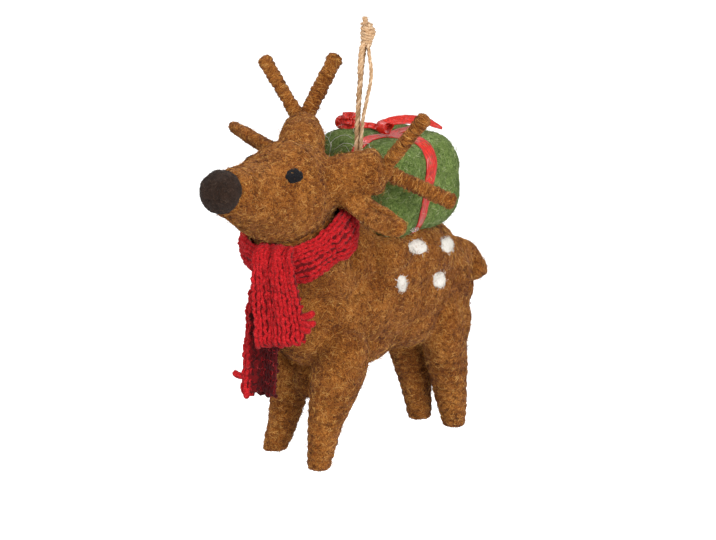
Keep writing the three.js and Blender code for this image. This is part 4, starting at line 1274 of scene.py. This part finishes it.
# Gift
def gift_mesh():
    """A felted block: a rounded box whose faces swell between the ribbons."""
    bm = bmesh.new()
    bmesh.ops.create_cube(bm, size=2)
    bmesh.ops.subdivide_edges(bm, edges=bm.edges[:], cuts=44, use_grid_fill=True)
    for vert in bm.verts:
        radius = GIFT_EDGE_RADIUS + GIFT_EDGE_CHANGE * vert.co.y
        inner = GIFT_HALF - Vector((1, 1, 1)) * radius
        full = Vector(a * b for a, b in zip(vert.co, GIFT_HALF))
        core = Vector(max(-b, min(b, a)) for a, b in zip(full, inner))
        out = (full - core).normalized()
        point = core + out * radius + GIFT_MIDDLE
        tied = hump(point.y, RIBBON_Y + SIDE_BAND_SHIFT, RIBBON_FURROW)
        if abs(out.x) < 0.7:
            tied += hump(point.x, 0, RIBBON_FURROW)
        swell = 0.5 - 0.75 * min(1, tied) + 0.35 * noise.noise(point / 6) + 0.15 * noise.noise(point / 2)
        swell += GIFT_CORNER * max(0, -(vert.co.x + vert.co.y) / 2) ** 2
        slump = GIFT_SLUMP * max(0, (vert.co.y - vert.co.x) / 2) ** 2 * max(0, vert.co.z)
        vert.co = place(point + out * swell - UP * slump)
    return finish_mesh("gift_felt", bm)


gift = gift_mesh()
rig.padded(show("gift_felt", gift, GREEN_FELT_AND_PAINTED_SHADE, "green_felt", replaces=["gift_block"]), fill=1)
rng = random.Random(23)
laid = lay_fibres(rng, gift, LYING, count=7000, length=2, width=0.11)
laid += lay_fibres(rng, gift, LOOSE, count=1300, length=2.2, width=0.08)
show_strands("gift_fibres", laid, GREEN_FIBRE, "green_felt")


def from_front(hair):
    """Whether a hair comes from the upper right front of the gift."""
    root = hair[0][0] / MM + HOOK - GIFT_MIDDLE
    return root.x < -2 and root.y < -9 and root.z > 4


# Long pale hairs that have come loose and curl over the front of the gift
laid = lay_fibres(rng, gift, WISP, count=240, length=12, curl=0.5, width=0.1)
show_strands("gift_wisps", [hair for hair in laid if from_front(hair)], WHITE_FIBRE, "white_felt")


def satin():
    """Polyester satin ribbon: smooth floats of thread with a soft bright band of gloss across the weave."""
    made, tree, shader = blank_material("red_satin")
    shares = add(tree, "ShaderNodeUVMap", uv_map="shares").outputs["UV"]
    weave = (RIBBON_WIDTH / SATIN_THREAD, 40, 1)
    spread = add(tree, "ShaderNodeMapping", {"Vector": shares, "Scale": weave}).outputs["Vector"]
    threads = add(tree, "ShaderNodeTexNoise", {"Vector": spread, "Scale": 1, "Detail": 2}).outputs["Fac"]
    feed(tree, shader, {
        "Base Color": ramp(tree, threads, [(0.34, "8c0d0a"), (0.66, "da2d1c")]),
        "Normal": bump(tree, threads, 0.25, 0.08),
        "Roughness": 0.3,
        "Anisotropic": 0.5,
        "Specular IOR Level": 0.42,
    })
    return made


RED_SATIN = satin()
gift_surface = surface_of(gift)


def show_ribbon(name, along_count, across_count, put, node, body="deer"):
    mesh = swept_grid(name, along_count, across_count, put, RIBBON_THICKNESS)
    return show(name, mesh, RED_SATIN, "red_satin", body, [node])


def band_put(way, start, end, shift, sway):
    """A ribbon round the gift in the plane of way and up, from one angle over the top to another.

    shift moves it whole, and sway is how far it strays sideways on its way down.
    """
    across_way = Vector((way.y, way.x, 0))

    def put(along, across):
        angle = math.radians(start + (end - start) * along)
        out = way * math.sin(angle) + UP * math.cos(angle)
        sideways = across * BAND_WIDTH / 2 + sway * math.sin(2 * abs(angle))
        line = GIFT_MIDDLE + shift + across_way * sideways
        hit, normal, _, _ = gift_surface.ray_cast(place(line + out * 60), -out)
        return hit + normal * RIBBON_LIFT * MM

    return put


RIBBON_SHIFT = Y_WAY * (RIBBON_Y + SIDE_BAND_SHIFT - GIFT_MIDDLE.y)
BAND_END = 136
BOW_ANGLE = -14
for word, put in (
    ("side", band_put(X_WAY, -BAND_END, BAND_END, RIBBON_SHIFT, SIDE_BAND_SWAY)),
    ("front", band_put(Y_WAY, -BAND_END, BOW_ANGLE, Vector(), 0)),
    ("back", band_put(Y_WAY, BOW_ANGLE, BAND_END, Vector(), 0)),
):
    show_ribbon(f"{word}_ribbon", 120, 6, put, f"{word}_ribbon_band")


def ribbon_put(points, facings, widths, crumple):
    """A free ribbon along a path. Its flat side looks along facings, and its creases are crumple mm deep."""
    count = 80
    line = smooth_line([Vector(point) for point in points], count)
    looks = smooth_line([Vector(facing) for facing in facings], count)
    shares = smooth_line([X_WAY * width for width in widths], count)

    def put(along, across):
        i = min(round(along * count), count)
        forward = (line[min(i + 1, count)] - line[max(i - 1, 0)]).normalized()
        side = forward.cross(looks[i]).normalized()
        crease = looks[i].normalized() * crumple * noise.noise(Vector((along * 17, across, 0)))
        return place(BOW + line[i] + side * across * RIBBON_WIDTH / 2 * shares[i].x + crease)

    return put


BOW = Vector((0, RIBBON_Y, GIFT_HIGH.z + 0.9))
TAIL_STEPS = [
    (-3, -0.4, 1.4), (-2, -0.2, 2.5), (0, 3, 3.4), (2.5, 6.2, 3.8),
    (5, 10.2, 3.4), (6.5, 12.2, 2.7), (9.3, 15.6, 0.5),
]
TAIL_FACINGS = [(4, -4, 6), (4, -4, 7), (4, -6, 6), (4, -5, 6), (4, -3, 8), (5, -2, 8), (6, -1, 7)]
TAIL_WIDTHS = [0.6, 0.8, 0.95, 1, 1, 0.95, 0.35]
tail_put = ribbon_put(TAIL_STEPS, TAIL_FACINGS, TAIL_WIDTHS, 0.35)
bow_tail = show_ribbon("bow_ribbon_end", 80, 6, tail_put, "bow_tail", None)
TAIL_HINGE = Vector((3.3, 8, 100.8))
TAIL_BEND = Vector((1, 3, 2))
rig.blend(bow_tail, "deer", "ribbon_tail", start=place(TAIL_HINGE), end=place(TAIL_HINGE + TAIL_BEND))

BUNCH_STEPS = [
    (0.6, 0, 1.6), (-4, -2, 2), (-8.4, -4.4, 1.8), (-12.8, -6.8, 1.4),
    (-12.6, -6.8, 3), (-9.2, -5.2, 3.2), (-9, -5, 4.5), (-12, -6.8, 4.5),
]
BUNCH_FACINGS = [
    (3, -3, 8), (3, -4, 7), (4, -5, 5), (3, -7, 4), (7, -6, 3), (6, -4, 5), (7, -6, 3), (4, -8, 4),
]
BUNCH_WIDTHS = [0.6, 0.7, 0.75, 0.85, 0.9, 0.9, 0.85, 0.7]
bunch_put = ribbon_put(BUNCH_STEPS, BUNCH_FACINGS, BUNCH_WIDTHS, 0.5)
show_ribbon("bow_bunch", 130, 8, bunch_put, "bow_loop")


def bow_knot_put(along, across):
    """The short turn of ribbon that ties the bow."""
    angle = 2 * math.pi * along
    ring = Vector((0.25 * math.sin(3 * angle), math.cos(angle) * 1.9, 1.7 + math.sin(angle) * 1.7))
    reach = across * 1.7 * (1 + 0.2 * math.sin(2 * angle))
    return place(BOW + ring + Vector((reach, 0, 0.25 * across ** 2)))


show_ribbon("bow_centre", 48, 6, bow_knot_put, "bow_knot")


def clouded(name, size, detail, dark, pale, surface):
    """A smooth material that is darker and paler in soft clouds."""
    made, tree, shader = blank_material(name)
    colour = ramp(tree, grain(tree, size, detail), [(0.3, dark), (0.7, pale)])
    feed(tree, shader, {"Base Color": colour, **surface})
    return made


# Hot-melt glue: clear and faintly milky, with a smooth set surface
CLEAR = {"Roughness": 0.18, "IOR": 1.48, "Transmission Weight": 0.85}
GLUE = clouded("hot_melt_glue", 1.5, 2, "d9d4cb", "f4f2ee", CLEAR)
GLUE_PLACE = Vector((16.4, 4.5, 72))
drop = uneven_ball("glue_drop", GLUE_PLACE, Vector((0.6, 1.5, 0.7)), 0.5)
show("glue_drop", drop, GLUE, "clear_glue", replaces=["glue_bead"])

# Wires inside the felt: annealed steel craft wire
STEEL = clouded("steel_wire", 0.5, 3, "85878a", "a9abae", {"Metallic": 1, "Roughness": 0.35})
for node, material in [(node, STEEL) for node in WIRES] + [("twine_stitch", JUTE)]:
    materials = frame["nodes"][node].data.materials
    materials.clear()
    materials.append(material)


# Studio
def seen(tree):
    """1 for rays from the camera, mirrors and glass, and 0 for the light that falls on the object."""
    path = add(tree, "ShaderNodeLightPath").outputs
    rays = path["Is Camera Ray"]
    for kind in ("Is Glossy Ray", "Is Transmission Ray"):
        rays = add(tree, "ShaderNodeMath", {0: rays, 1: path[kind]}, operation="MAXIMUM").outputs[0]
    return rays


def light_world():
    """Even light from all round, in front of a white background."""
    world = bpy.data.worlds.new("studio")
    bpy.context.scene.world = world
    world.use_nodes = True
    tree = world.node_tree
    tree.nodes.clear()
    levels = {0: seen(tree), 1: 1 - AMBIENT, 2: AMBIENT}
    strength = add(tree, "ShaderNodeMath", levels, operation="MULTIPLY_ADD").outputs[0]
    background = add(tree, "ShaderNodeBackground", {"Color": (1, 1, 1, 1), "Strength": strength})
    add(tree, "ShaderNodeOutputWorld", {"Surface": background.outputs[0]})


def lay_floor():
    """A plain pale floor some way under the hanging ornament."""
    made, tree, shader = blank_material("pale_floor")
    glow = add(tree, "ShaderNodeMath", {0: seen(tree), 1: FLOOR_GLOW}, operation="MULTIPLY").outputs[0]
    feed(tree, shader, {
        "Base Color": linear("c8c8c8"),
        "Roughness": 1,
        "Specular IOR Level": 0,
        "Emission Color": (1, 1, 1, 1),
        "Emission Strength": glow,
    })
    bm = bmesh.new()
    bmesh.ops.create_grid(bm, x_segments=1, y_segments=1, size=FLOOR_HALF)
    bmesh.ops.translate(bm, verts=bm.verts, vec=place(UP * -FLOOR_DROP))
    floor = bpy.data.objects.new("floor", finish_mesh("floor", bm))
    floor.data.materials.append(made)
    bpy.context.scene.collection.objects.link(floor)
    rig.stage(floor)


def lamp(name, right, up, towards, size, power):
    """A square softbox, placed by metres to the camera's right, upwards and towards the camera."""
    right_way = UP.cross(view_back).normalized()
    data = bpy.data.lights.new(name, "AREA")
    data.size = size
    data.energy = power
    light = bpy.data.objects.new(name, data)
    offset = right_way * right + UP * up + Vector((view_back.x, view_back.y, 0)).normalized() * towards
    light.location = place(VIEW_TARGET) + offset
    light.rotation_euler = offset.to_track_quat("Z", "Y").to_euler()
    bpy.context.scene.collection.objects.link(light)


light_world()
lay_floor()
lamp("key", 0.55, 0.5, 0.95, 0.7, 15)
lamp("side", -0.75, 0.6, 0.6, 0.4, 6)
lamp("rear", -0.3, 1, -0.55, 0.6, 6)
bpy.context.scene.view_settings.view_transform = "Standard"

with open("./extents.json", "w") as size_file:
    boxes = {"cad": cad_box, "visual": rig.bounds()}
    json.dump({name: [list(low), list(high)] for name, (low, high) in boxes.items()}, size_file)
